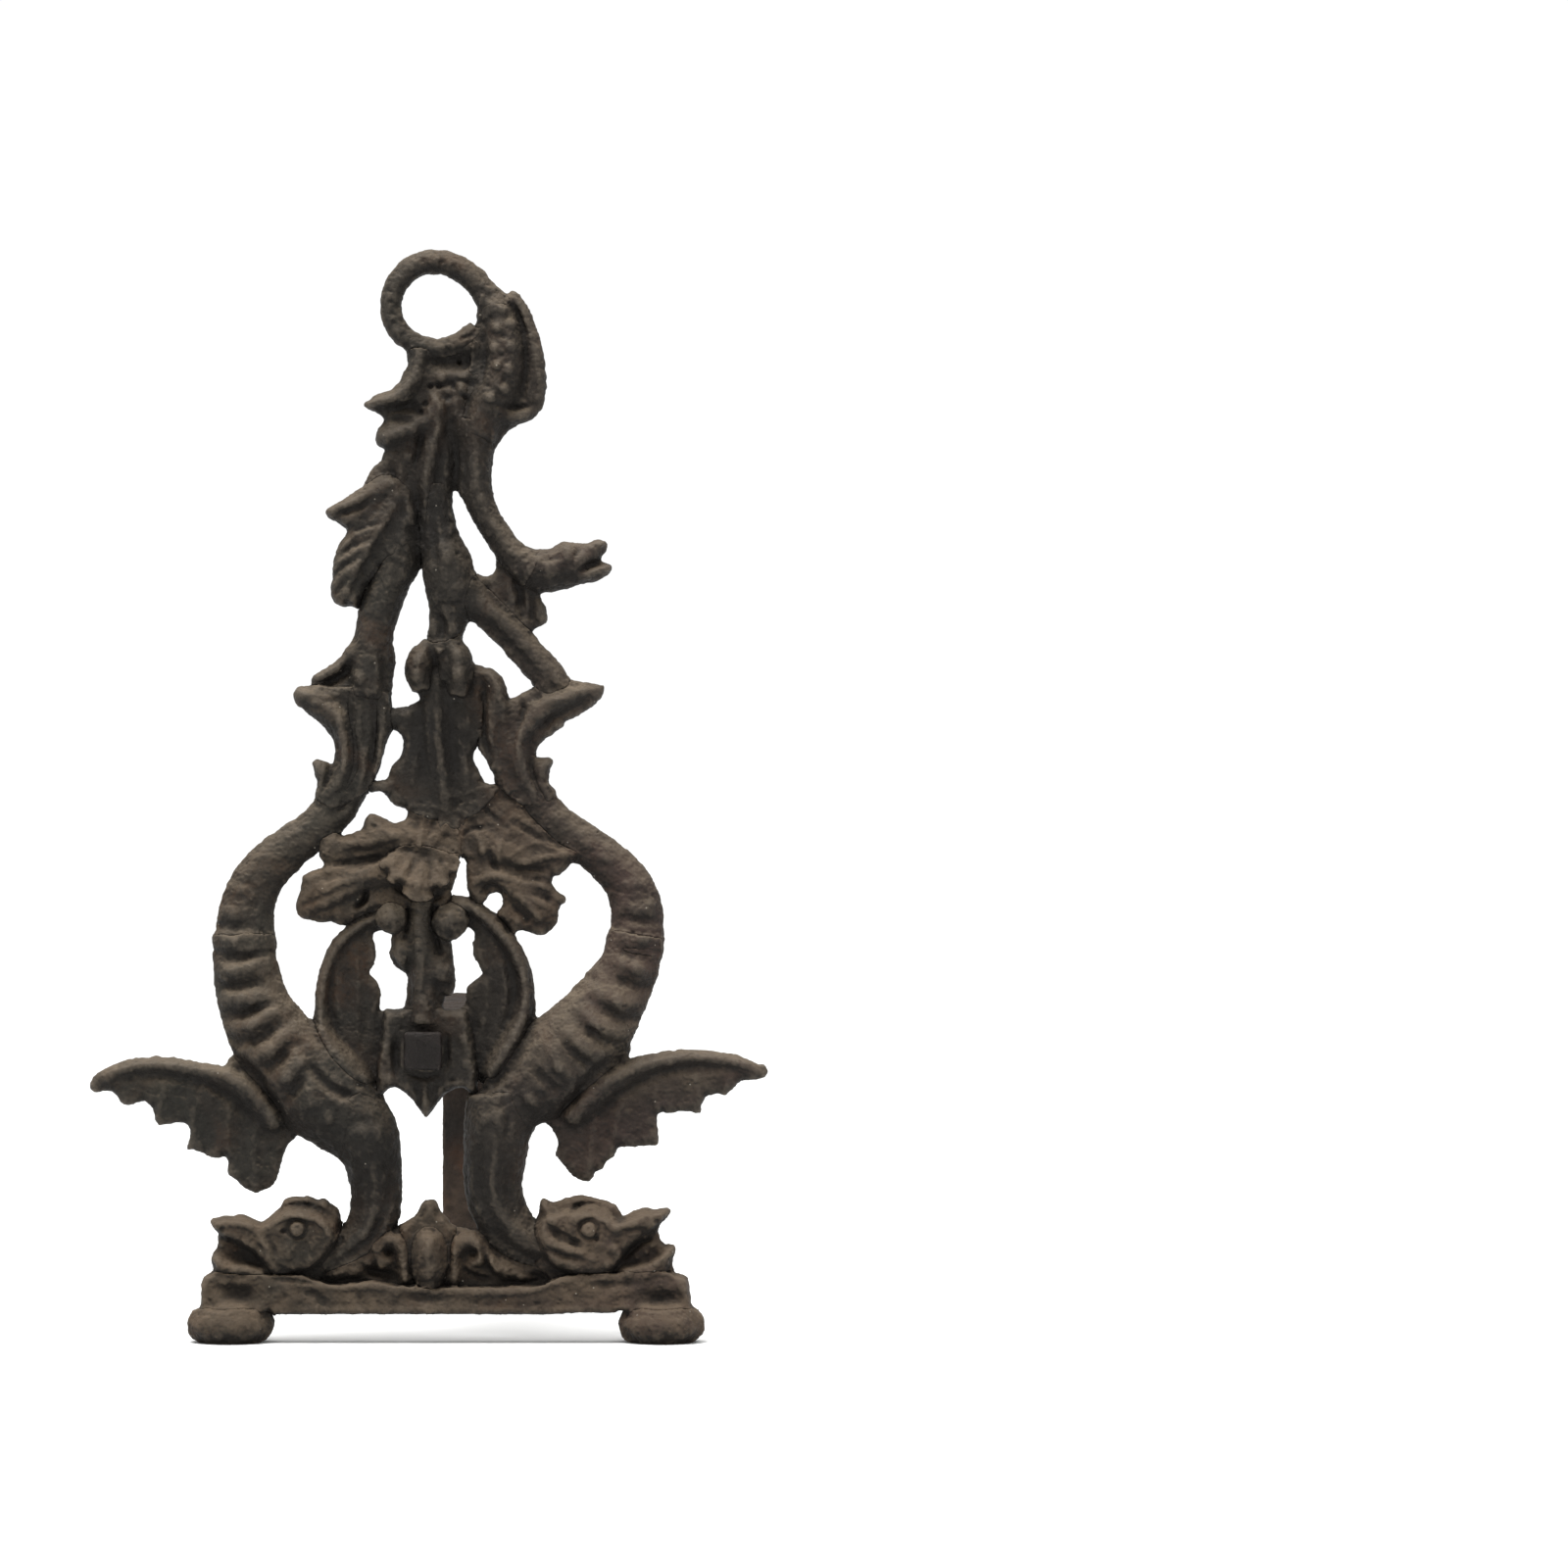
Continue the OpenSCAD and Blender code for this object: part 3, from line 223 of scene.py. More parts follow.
# Relief ---------------------------------------------------------------------------------------
# Each line is a kind of stroke, its half width and its height in millimetres, and the points
# x,z that it runs through, in the millimetres of the CAD frame. "lift" raises a whole node,
# and "lean" tilts it between two points.
RELIEF = {
    "tail_ring": """
    pit 1.6 0.8 -2,396 5,395.5 9.5,394 -14,385 -13.5,381 -13,376.5 -12.5,373 -9,369
    cut 1.2 1.4 12,367 16,369 20,372
    groove 1.4 0.6 18,386 21,384 23,382
    """,
    "wyvern_back": """
    groove 2.6 1.6 29,383 32,377 34,371 35.5,364 35.5,356 34.5,349 33,343
    cut 1.3 1.2 31,380 34,375 36,369
    cut 1.3 1.1 33.5,383 37,377 39,371
    bump 2.8 1.8 24,364 31,364.5 30,356 25.5,357.5 28.5,348.5 23,345.5 25,371 31,373 28,378
    pit 1.6 1.0 27,361 28,352 22,350 28,368 23,375
    cut 1.6 2.2 21.5,363 21,357 20,351
    groove 1.8 1.4 24,343 31,342 39,343
    ridge 3.0 0.8 39,372 41,362 41,350
    """,
    "wyvern_trunk": """
    groove 5.5 4.0 0,358.5 8,359.5 15,359 20,358
    pit 1.0 6.0 11.3,358.8
    groove 3.2 3.0 -21,341.3 -12,341.8 -6,342.5 -2,340
    ridge 2.6 1.4 -23,343.8 -16,345.8 -10,348 -6,353
    groove 2.4 1.6 -15,338.3 -10,338 -5,337
    bump 5.5 2.2 -12.5,332.5 -16,331
    bump 2.8 1.6 2,346 7.5,348 12,349.5 5,353.5 14,354.5 19,353 9,344
    bump 4.0 1.8 17,347.5
    bump 3.0 1.2 14.5,326 13.5,336 -8,325
    pit 1.6 2.2 -1,343.5 -2.5,340.5 9.5,350 13.5,346 4,350 1,350
    ridge 3.4 2.0 6,344 4,334 2,324 0,316 1,308
    groove 2.8 2.4 -2.5,336 -3,328 -4,321
    groove 4.0 4.5 9,336 10,326 9.5,316 9,310
    groove 2.6 3.0 -3,314 -3.5,305 -3.5,297 -2,290
    ridge 2.2 0.9 -12,325 -10,318 -9,310
    groove 1.8 1.0 -14,322 -12.5,314 -12,306
    cut 1.4 1.4 0,350 6,350.5 11,352 18,350.5
    """,
    "wyvern_neck": """
    ridge 2.6 0.7 18.5,330 18,318 20.5,306 26,297 32,289.5
    groove 2.2 0.9 13.5,330 13.5,318 15,308
    pit 1.2 0.6 30,291 36,287
    """,
    "wyvern_head": """
    lift 0 1.5 50,284
    cut 1.6 1.8 55,294 55,290 53.5,286.5
    bump 4.0 1.4 50,291.5
    bump 5.0 1.2 45,281 57,281
    groove 2.2 3.0 56,282.5 60,284.8 64,286
    ridge 1.6 1.0 58,290.5 62,292.3 65,292
    ridge 1.5 0.9 58,281 62,282.5 66,284
    pit 1.2 1.2 61.5,291.5
    groove 1.8 1.0 40,287 45,286.5 49,287.5
    """,
    "wyvern_leg": """
    bump 5.5 1.8 12.5,275.5 8,289
    pit 1.2 1.6 11,288.5
    groove 3.0 3.0 3.5,268 5,262.5 5,256.5
    ridge 2.2 1.2 0.8,264 -0.2,258.5
    ridge 2.6 1.2 9.5,264 10.3,258
    groove 2.4 1.2 2,305 2.5,294 3,284 3,276
    cut 1.2 0.9 2.5,271 8,270.2 13,271
    """,
    "wyvern_claw": """
    groove 2.4 4.5 3,250 3,244 4,238.5
    bump 1.8 1.6 4.4,253
    bump 3.6 1.0 -4,250 -4.5,244.5 11.5,252 11.5,245
    pit 1.3 0.9 -2,248 -4.5,247 9,248.5 13.5,248 -5,252 12,255 0,246
    cut 1.2 1.0 7.5,252 8,246 8.5,240
    """,
    "upper_left_leaf": """
    lift 0 3.5 -20,290
    groove 2.4 2.0 -36,302.3 -30,303.8 -24,306 -20,309.5
    ridge 2.4 1.2 -37,304.6 -31,307 -25,309.5
    ridge 2.0 1.5 -12,306 -17,298 -21,291 -26,283 -29.5,275
    ridge 1.5 1.0 -17,298 -24,296.5 -31,291.5
    ridge 1.5 1.0 -20,292 -27,289 -34,284
    ridge 1.5 0.9 -25,284.5 -30,281.5 -35,277
    ridge 1.4 0.8 -17,298 -15,291 -12,288
    ridge 1.4 0.8 -21.5,290.5 -20.5,285 -19,282
    cut 1.3 1.0 -15,300.5 -23,298 -29,296
    cut 1.3 1.1 -20,294.5 -27,291.5 -33,287.5
    cut 1.3 1.1 -23.5,287.5 -30,284.5 -35,280.5
    cut 1.3 1.0 -27,280.5 -31,277 -34.5,273
    cut 1.2 0.9 -14,298 -12,293 -9,290
    cut 1.2 0.9 -24.5,285 -23,280 -24,275
    bump 3.5 1.2 -30,274 -27,272
    groove 2.0 1.2 -10,300 -9,308 -10,315
    """,
    "upper_right_leaf": """
    groove 2.6 2.4 32,284 33.5,275 34.5,267
    groove 2.0 1.8 38,276 38,269 38,263
    ridge 2.2 1.2 41,272 42,266
    ridge 2.4 1.0 29,281 30,273 31,266
    groove 2.0 1.2 20,281 22,275 25,270
    """,
    "left_branch": """
    groove 3.4 4.5 -41,240.8 -36,242.3 -31,245.5 -29.5,249
    bump 3.6 2.2 -25.5,243
    groove 2.0 1.8 -17.5,253 -16.5,245 -17,236
    ridge 2.0 1.0 -14,248 -14.5,240 -15.5,234
    ridge 3.0 1.0 -27.5,258 -27,250 -26,240
    ridge 1.6 0.7 -24,251 -19,250.5 -14.5,251.5
    groove 2.0 1.0 -21,290 -20.5,282 -24,274
    """,
    "right_branch": """
    ridge 3.2 1.2 20,271 30,263 38,255 45,247.5 49,241
    groove 2.6 1.4 18,266.5 27,258.5 35,250.5 41,243.5
    groove 2.4 1.0 44,241 47,239 50,238
    """,
    "left_tail_leaf": """
    ridge 2.4 1.4 -48.5,237.5 -42,237.5 -36,236.5 -31,238
    groove 2.4 1.2 -46,233.5 -40,232 -36,229
    ridge 2.2 1.8 -33,234 -31.5,224 -30.5,214 -33,205
    ridge 2.2 1.8 -25.5,237 -25,224 -23.5,212 -25.5,203
    groove 2.0 2.0 -28.5,236 -28,224 -27,212 -29.5,203
    groove 2.4 3.6 -20.5,239 -20,228 -20,216 -22,207
    ridge 2.0 1.4 -16.5,236 -16.5,226 -18,218
    groove 1.8 2.6 -36.5,214 -36.3,208 -38.5,202.5
    ridge 1.5 1.0 -42,212.5 -39.3,207 -40,202
    """,
    "right_tail_leaf": """
    ridge 2.8 1.4 63,239.8 54,238.3 45,235.5 37,233
    groove 3.0 2.4 59,234.5 51,231 44,227.5 39,221
    cut 1.5 2.2 33.5,236 35,231 33,225 31.5,219
    groove 2.2 2.6 37,223 37.5,213 39,205 43,197.5
    ridge 2.2 1.4 27.5,236 28,226 30,215 34,205
    ridge 2.0 1.2 33,228 33.5,217 36,207
    ridge 2.2 1.6 19,245.5 23.5,245 26.5,240 28,233
    groove 2.6 4.0 20,243 20,233 20.8,222 22.5,213
    ridge 1.6 1.0 45.5,212.8 42,210.5 41.5,204
    bump 1.8 0.8 32,229.5
    """,
    "centre_leaf": """
    cut 1.6 2.0 1.5,236 1.5,224 2.5,212 4,200
    ridge 1.8 1.0 -1,236 -1,224 0,212 1.5,202
    ridge 1.8 1.0 4.3,234 4.5,222 5.5,212 7,202
    groove 2.2 1.6 -5,232 -5.5,221 -7.5,209 -8,201
    groove 2.2 1.8 8.5,234 9,222 10,211 10.5,203
    bump 4.0 1.8 13,226
    ridge 2.0 1.0 13,218 14,208 14.5,200
    groove 2.6 2.2 17,236 17,226 15.5,217
    bump 3.2 1.0 -14,229.5 -8,230
    groove 3.5 3.0 8,197 12,196
    ridge 2.0 0.8 -10,211 -11,204
    cut 1.3 1.0 -20,204.5 -14,203.5 -9,200
    groove 3.4 3.0 0,244 1,238 2,233
    groove 3.4 3.0 15,243 15,237
    """,
    "cluster_left_leaf": """
    lean 1 -3.5 -8,185 -4,197
    groove 2.0 1.6 -36,175 -28,175.8 -20,177 -14,178.5
    ridge 2.2 1.2 -37,172.6 -29,172.6 -21,174 -15,175.6
    cut 1.5 1.8 -17.5,177 -13,174 -9.5,171
    ridge 3.6 1.4 -47,163 -40,166.5 -32,169.3 -24,171 -15,172
    ridge 1.8 0.7 -44,157.5 -36,160.5 -29,164.5 -23,169
    groove 1.6 0.8 -46,160 -38,163 -31,166.5
    cut 1.6 5.0 -22.3,165.5 -23.3,162 -26,159.5
    groove 2.4 3.0 -12,168 -8,164.5 -3,161.5 3,162.5 7,166
    ridge 1.6 0.7 -33,184 -25,183 -16,184.5
    ridge 1.6 0.7 -22,193 -17,188.5 -11,184.5
    ridge 1.6 0.8 -2,195 -2,189 -3,183 -4,178
    ridge 1.6 0.7 8,191 5,186 1,181
    groove 1.8 0.7 -14,193 -10,188 -7,183
    groove 1.8 0.7 5,195 2,189 0,184
    groove 1.8 0.7 -30,180 -22,180.5 -14,182.5
    bump 3.0 0.7 -43,170 -33,158 -27,188 -9,191 9,187
    pit 1.5 0.6 -42,160 -36,167 -30,163 -20,189 -28,178 -8,180 -38,178
    """,
    "cluster_right_leaf": """
    lean 1 -5.0 27,184 17,203
    ridge 2.0 1.2 15.5,168 20,170 27,170.8 34,169
    ridge 1.8 1.0 18.5,186 20,179 22.5,173
    ridge 1.5 0.7 27,184 26,178 27,173
    groove 1.6 1.0 22.5,183 23,177 25,173
    groove 2.4 1.6 32,190 39,186 46,183 53,180.6
    cut 1.4 1.2 12.5,186 17,188 22,188.5
    ridge 2.0 1.0 32,175 41,177 53,178.8
    ridge 1.6 0.7 31,179 38,182.5 44,183
    groove 1.8 1.0 45,172.5 38,173.5 31,174
    groove 2.0 2.4 20,164.5 23.5,167 28,165
    ridge 2.0 1.2 49,165 42,167 34,168.5
    ridge 2.0 1.0 31,165 37,160 42,154
    groove 1.6 0.8 48,161.5 42,163 36,165
    groove 1.6 0.8 30,160.5 34,157 38,153
    ridge 1.5 0.6 47,157.5 42,160.5 37,163
    ridge 1.8 0.7 14,197 18,191 22,186
    groove 1.6 0.8 18,199 23,193 29,188
    bump 2.6 0.7 45,170 40,155 33,155 50,179 20,180
    pit 1.5 0.6 40,170 44,174 36,154 30,180 24,182 16,177
    """,
    "cluster_front_lobe": """
    lean 1 -9.0 -5,169 -1,181
    lift 0 2.6 -3,172
    ridge 2.2 1.1 -3,164 -3,169 -2,175
    ridge 1.8 0.8 -11,170 -8,173.5 -6,178
    ridge 1.8 0.8 7.5,170.5 4,174 2,178
    groove 1.6 0.8 -7.5,168 -6.5,172 -5,176
    groove 1.6 0.8 1.5,166 1.2,171 0.5,176
    bump 2.0 0.8 -12.5,176 7,175 2.5,168
    """,
    "centre_stem": """
    bump 3.0 1.1 -3.8,159.5 -4,155 -3.8,150.5 -4,146
    cut 1.8 3.0 -8,161 -7.8,154 -8.3,148.5
    cut 1.8 3.0 2,161 1.8,154 3,147 4.5,143
    groove 1.6 1.2 0,143 -0.5,134 -1,126
    ridge 1.6 0.8 -4.5,140 -5,131 -5,123
    groove 1.4 1.0 -7,144 -7.3,134 -6.5,124
    bump 2.4 1.0 -10.5,139.5 -11,146
    pit 1.3 0.9 -3,143 4.5,132 -2,128 1,124 6,139 -9,142
    """,
    "left_berry": """
    pit 1.4 0.6 -15,157 -11.5,154 -14,152.5
    bump 2.0 0.5 -13,158
    """,
    "right_berry": """
    pit 1.4 0.6 6,156 10.5,153 8,150.5
    bump 2.2 0.5 8,157
    """,
    "shield_boss": """
    groove 2.4 2.4 -11.5,111 -11.8,105 -11.5,98.5
    groove 2.0 2.0 6.8,112 6.8,106 6.6,101
    groove 2.2 1.4 -8,99 -1,97.3 5,99
    ridge 1.6 1.4 -1,95 -1,90 -1,84
    groove 1.5 1.2 -4.5,95 -3.8,91 -2.5,86.5
    groove 1.5 1.2 3,95 2.8,91 1.5,86.5
    bump 3.2 1.0 -15.5,108 -14,97 13,111 14,102 11,94
    bump 3.4 1.2 -2,118.5
    pit 1.6 1.0 -16,102 9,96 -9,115
    """,
    "left_inner_wing": """
    ridge 3.6 1.6 -23,94.5 -28,98.5 -33,104 -37,110
    groove 3.6 1.6 -35.5,145 -37,134 -37.3,124 -35,114 -31,107
    groove 2.0 0.9 -30,142 -30,130 -29.5,118
    ridge 1.6 0.7 -33,143 -33.8,130 -32.5,117
    ridge 1.6 0.7 -26.5,148 -26,136 -26,124 -26.5,113
    cut 1.3 1.3 -23.5,121 -24,115 -24.5,109
    groove 1.8 0.8 -19,119 -19,109 -21,101
    groove 2.2 1.0 -24,151 -22.5,145 -22.5,139
    ridge 1.6 0.8 -14.5,117 -16,107 -18.5,98
    """,
    "right_inner_wing": """
    ridge 3.6 1.6 22,97.5 26,103 30.5,110 34,118
    groove 3.8 1.6 26.5,147 30.5,138 32,128 30.5,118 26.5,110
    ridge 1.6 0.8 21,150 26,140 28.5,128 27,116
    groove 2.0 0.9 18.5,146 23,137 25,127 23.5,116
    ridge 1.6 0.7 20.5,136 21.5,127 20.5,117 18.5,107
    groove 1.8 0.8 17,127 17.5,117 16,108
    cut 1.3 1.6 11.5,127 14.5,123 17,121
    ridge 1.6 0.8 14,117 14.5,108
    """,
    "left_outer_wing": """
    ridge 3.4 1.4 -119,98.5 -110,102.3 -99,103 -88,101.8 -78,99.8 -71,97 -64,91.5 -58,84
    groove 3.4 1.2 -112,97 -100,97.8 -88,96 -79,93 -72,88 -65,80
    ridge 2.0 0.8 -96,98 -98,88 -100,80
    ridge 2.2 0.8 -82,95 -86,83 -88.5,71.5
    ridge 2.2 0.8 -72,90 -74,78 -73.5,68
    ridge 2.4 0.7 -63,85 -64,70 -63.5,56
    groove 4.0 0.9 -104,95 -106,91 -108,88
    groove 4.5 0.9 -89,93 -92,86 -94,81
    groove 4.5 0.9 -77,90 -80,79 -81,69
    groove 4.5 0.8 -67,84 -69,72 -69,60
    groove 3.0 3.2 -68,105 -63,100 -58,92 -53.5,83 -50.5,76
    bump 3.0 1.0 -73,101.5
    """,
    "right_outer_wing": """
    ridge 3.4 1.4 119,101.3 110,104.5 99,105.3 88,104.3 79,101.8 72,99 64,94.5 56,87
    groove 3.4 1.2 112,99.5 100,100.3 88,99 79,96 72,91 64,83
    ridge 2.0 0.8 97,100 99,92 100.3,84.5
    ridge 2.2 0.8 82,97 84,85 84,73
    ridge 2.2 0.8 72,92 69,81 67,72
    ridge 2.4 0.7 62,86 60,74 59,60
    groove 4.0 0.9 104,98 106,94 108,91.5
    groove 4.5 0.9 89,96 92,90 93,85
    groove 4.5 0.9 77,92 77,82 77,73
    groove 4.5 0.8 66,86 64,76 63,66
    groove 3.0 3.2 70,108 64,102 58,96 52,88.5 47,82
    bump 3.0 1.0 72.5,105
    """,
    "left_dragon_tail": """
    ridge 3.6 1.2 -79,157 -73.5,157.5 -67,156.5
    ridge 3.2 0.8 -76,167 -70,166 -65,164
    groove 2.6 1.2 -79,152 -73.5,152.5 -67,152
    bump 4.0 0.5 -68,171 -60,177.5 -50,184.5
    pit 1.2 0.6 -50,176 -52,177 -66,160 -60,170
    groove 2.6 1.6 -35,193 -30,199 -26,206
    """,
    "right_dragon_tail": """
    ridge 3.6 1.2 85.5,159.5 79,159 72,159.5
    ridge 3.2 0.8 82,169 77,168 71,166.5
    groove 2.6 1.2 85.5,154 79,154 72,155
    bump 4.0 0.5 66,178 57,184 46,192
    groove 2.4 1.4 36,197 33,204 31,212
    pit 1.2 0.6 70,165 75,150 60,180
    """,
    "left_dragon_body": """
    ridge 4.0 1.6 -78,147.5 -71,147 -62,146
    ridge 4.0 2.0 -79,135.5 -71,136 -63,137.5 -56,138.5
    ridge 4.2 2.2 -77.5,124.5 -70,126 -63,126.5 -55,126
    ridge 4.2 2.2 -73.5,114.5 -65,116.5 -59,120 -52,122
    ridge 4.2 2.2 -67,103.5 -59,107 -53,111.5 -48,115
    ridge 4.0 2.2 -57,94 -51,97.5 -48,102.5 -45,107
    ridge 3.4 1.4 -46,84 -43,89 -42,95
    bump 3.4 1.4 -71,147 -70.5,136 -68,126 -63.5,117 -57,108 -51.5,98 -44,103
    groove 3.0 2.0 -77,141.5 -69,141 -61,142
    groove 3.0 2.6 -76.5,130 -69,130.5 -61,131.5
    groove 3.2 2.8 -74,119.5 -66,120.5 -59,123.5
    groove 3.2 3.0 -69,109 -61,111.5 -55,116
    groove 3.2 3.0 -61,99.5 -55,102.5 -50,108
    groove 3.0 2.4 -51,89.5 -47.5,93.5 -45,99
    groove 3.2 3.0 -46,109 -42,101 -37,95 -30,91 -23,89
    groove 3.4 3.4 -71,104.5 -64,99.5 -58,91 -53,80
    bump 4.0 1.0 -40,88 -36,82
    """,
    "right_dragon_body": """
    ridge 4.0 1.6 85.5,149 79,148.5 71,147.5
    ridge 4.0 2.0 84.5,135.5 77,136.5 69,139.5 63,141
    ridge 4.2 2.2 81,123 73,124 66,127 59,130
    ridge 4.2 2.2 75,112.5 67,114.5 60,119 54,124
    ridge 4.4 2.2 66,103.5 59,107 53,112 49,117
    ridge 4.0 2.2 55,96 49,101 46,108
    ridge 3.4 1.4 42,85.5 38,89.5 34,94
    bump 3.6 1.6 79,148 77,137 69.5,125 62,117 54,108.5 48.5,101 37,89
    groove 3.0 2.0 84.5,142.5 77,142.5 70,144
    groove 3.0 2.6 82.5,129.5 75,130.5 68,133.5
    groove 3.2 2.8 78,118 70,119 63,123
    groove 3.2 3.0 70,109 63,111 57,116
    groove 3.2 3.0 60,101.5 55,105 51,111
    groove 3.0 2.4 48,92 43,96 39,101
    groove 3.4 3.4 69,106 60,98.5 54,90 49,82
    groove 3.0 3.0 38,112 33,104 27,97 22,93
    """,
    "left_dragon_neck": """
    ridge 3.4 1.2 -33,78 -26,78.5 -19,77 -14,73
    groove 3.0 1.8 -39,74 -33,75 -27,80.5 -19,81
    groove 2.2 1.2 -17.5,72 -14.5,62 -14.5,53 -18,44 -24,37
    ridge 2.6 0.9 -21,70 -19,60 -19.5,50 -23,41 -30,35
    groove 2.2 1.0 -26,66 -24.5,57 -25,48 -29,39.5
    groove 2.6 2.4 -16,47 -20,39 -26,34 -33,29.5
    ridge 1.8 0.8 -28,50 -31,42 -35,36 -38,32
    """,
    "right_dragon_neck": """
    ridge 4.0 1.6 18,80 24,83 28,81
    cut 1.4 2.0 29.5,85 29.5,80 28.5,75
    groove 2.6 1.4 20,76 19,66 19,57 22,48 28,41
    ridge 2.6 1.2 25,76 24.5,66 24,57 27,48 33,41 41,36
    groove 2.4 1.6 30,72 29.5,62 29.5,55 32.5,47 39,40
    ridge 2.2 1.0 33.5,70 33.5,60 34,53 38,46
    groove 3.4 3.4 21,46 27,38 34,33 43,29.5
    ridge 1.8 0.7 16,74 15.5,64 16,56 19,47
    """,
    "left_dragon_head": """
    roll 2.4 2.2 -58,44.2 -54,46.8 -48.5,48 -42,47.2 -37,44.3 -34.5,40.5
    groove 1.6 1.6 -56,47.2 -50,50 -43,49.8 -37,47
    ridge 1.6 1.2 -54,50.3 -50,52.2 -45,52.6 -40,51.5 -36,49.3
    cut 1.1 1.2 -51.3,51 -51.8,54
    cut 1.1 1.2 -46,51.5 -45.8,54
    cut 1.1 1.2 -41,51 -40.2,53.5
    cut 1.1 1.2 -37,49 -35,51
    ring 1.4 1.8 -47.5,42
    pit 1.1 0.7 -47.5,42.5
    bump 3.4 0.8 -50,35 -42,36 -38,40
    ridge 2.8 1.4 -79.5,44.6 -73,44.8 -66,44 -61,41.5
    ridge 2.4 1.4 -62,40 -58.5,35 -57.5,29
    groove 1.6 0.8 -59,39 -56.5,35 -55,31
    pit 1.6 1.8 -75,42 -52.5,41
    groove 2.0 2.6 -76.5,39 -71.5,37.5 -66,34.5 -61,31
    bump 1.3 1.4 -73.5,38 -70.5,33.8 -68,35.5 -75.5,35.5
    ridge 1.8 1.4 -78.5,31.5 -75,28.2 -69,27.3 -61,27
    groove 1.8 0.9 -77.5,25.2 -69,24.6 -62,24.6
    bump 2.4 0.8 -51,32 -43,31
    groove 1.6 1.0 -56,30 -52,27 -46,25.5
    """,
    "right_dragon_head": """
    roll 2.4 2.2 52.5,42.5 54.5,46.8 59,48.5 64,47.3 67.5,43.5 68,39.5
    groove 1.6 1.6 51,46.5 55,50 60,50.8 66,48.5
    ridge 1.6 1.2 50,51 55,52.4 61,52 66.5,49.8
    cut 1.1 1.2 47.5,49 45.5,52
    cut 1.1 1.2 52,51 51,54
    cut 1.1 1.2 57.5,51.5 58,54
    cut 1.1 1.2 63,50 64.5,53
    ridge 2.0 1.2 42.5,51.5 44,47 47,43
    ring 1.4 1.8 59,41.5
    pit 1.1 0.7 59,42
    groove 2.6 2.0 43.5,43.5 47.5,40 52,37.6 56,36
    bump 3.0 0.7 62,35.5 56,33 67,35
    ridge 2.4 1.4 43,38.5 48,35.5 55,33.5
    groove 2.0 1.6 44,34.5 50,32.3 57,30.5
    ridge 2.8 1.4 72,46 79,47.8 87,48.2
    ridge 2.4 1.4 68.5,41 72,43.5 78,44.5
    ridge 2.2 1.2 68,37 69.5,32 71,28.5
    groove 1.4 0.8 73,41.3 78,41.5 83,43
    groove 2.0 2.8 83,38 78,36.5 73.5,33 70.5,29.5
    bump 1.3 1.4 79.5,38.5 82,35.5 76.5,31 80,33
    pit 1.6 1.8 83.5,45 62,38
    ridge 1.8 1.4 88.5,33 84,29.8 78,28 71,27
    groove 1.8 0.9 88,26.2 79,24.8 71,24.6
    bump 2.4 0.8 60,31 66,29
    """,
    "base_hood": """
    groove 1.6 1.0 -3,44.5 -1.5,48 0,50.5
    groove 1.6 1.0 4.5,44 3,47.5 1.5,50.5
    ridge 1.6 0.8 -9,42 -5,45 -3,48
    ridge 1.6 0.8 9,41 6,44.5 4,47.5
    """,
    "base_pod": """
    pit 1.4 0.6 1.5,31 -2,28 3.5,36
    ridge 2.0 0.5 0.5,40 0.5,33 0.5,27
    groove 2.2 1.2 -3,23.5 0.5,22.8 4,23.5
    """,
    "left_scroll": """
    pit 2.4 2.4 -14.3,33.3
    cut 1.4 2.4 -7,39 -7,31 -6.8,24
    groove 2.4 2.6 -24,28 -19,25.5 -12,24.3
    ridge 2.2 1.4 -36,25 -30,28 -24,32 -20,35.5
    groove 1.6 1.4 -33,29 -27,33 -21,37.5
    ridge 1.6 1.0 -30,24 -24,24.3 -17,22.5
    cut 1.2 1.6 -31,23.2 -26.5,24
    bump 2.0 1.2 -8,22.3 -17,28
    ridge 1.4 0.9 -19,31 -17,26
    pit 1.2 1.0 -20,28.5 -12,27 -10,33
    """,
    "right_scroll": """
    pit 2.4 2.4 16.8,33
    cut 1.4 2.4 8,38 8,31 7.8,24
    groove 1.8 2.2 20,36 21,30.5 24,25
    ridge 1.8 1.6 23.5,32.5 23.5,28.5 26,24.5
    ridge 2.2 1.2 44,26.5 37,27 30,29.5 26,31.5
    groove 2.0 2.0 46,29.5 38,31 31,33.5
    groove 1.6 1.2 14,26 18,24 23,22.8
    ridge 1.6 1.0 13,29 16,26.5 20,25.2
    bump 2.0 1.0 10,22 34,24 28,23.5
    cut 1.2 1.4 28,22 35,22 42,22.5
    pit 1.2 1.0 12,31 30,26 38,24.5
    """,
    "base_bar": """
    groove 4.5 3.0 -75,19 -69,18.5 -63,18
    ridge 2.4 1.0 -81.5,23 -81.5,18 -81.5,14
    groove 2.6 1.4 -45,19.5 -40,17 -36,13.5
    ridge 2.0 1.0 -42,21 -32,20.5 -22,21 -12,19.5
    ridge 1.8 0.9 12,18.5 24,18.5 36,19 45,21.5 54,23.5
    groove 3.0 1.6 -8,17 0,16.5 9,17
    groove 1.8 1.6 -57,23.5 -48,23 -41,22
    groove 3.8 2.4 80,17 86,16.5 91,17
    ridge 2.0 1.0 92.5,23 93.5,18
    ridge 1.8 0.8 72,13.5 84,13 94,13.5
    groove 2.0 1.2 58,21 68,21.5 76,22
    ridge 1.6 0.7 -56,13 -40,12.5 -20,12.5 0,12.5 20,12.5 45,12.5 66,13
    pit 1.5 0.7 -25,17 -18,15 18,15 28,17 40,14.5 -52,17 60,16
    """,
}
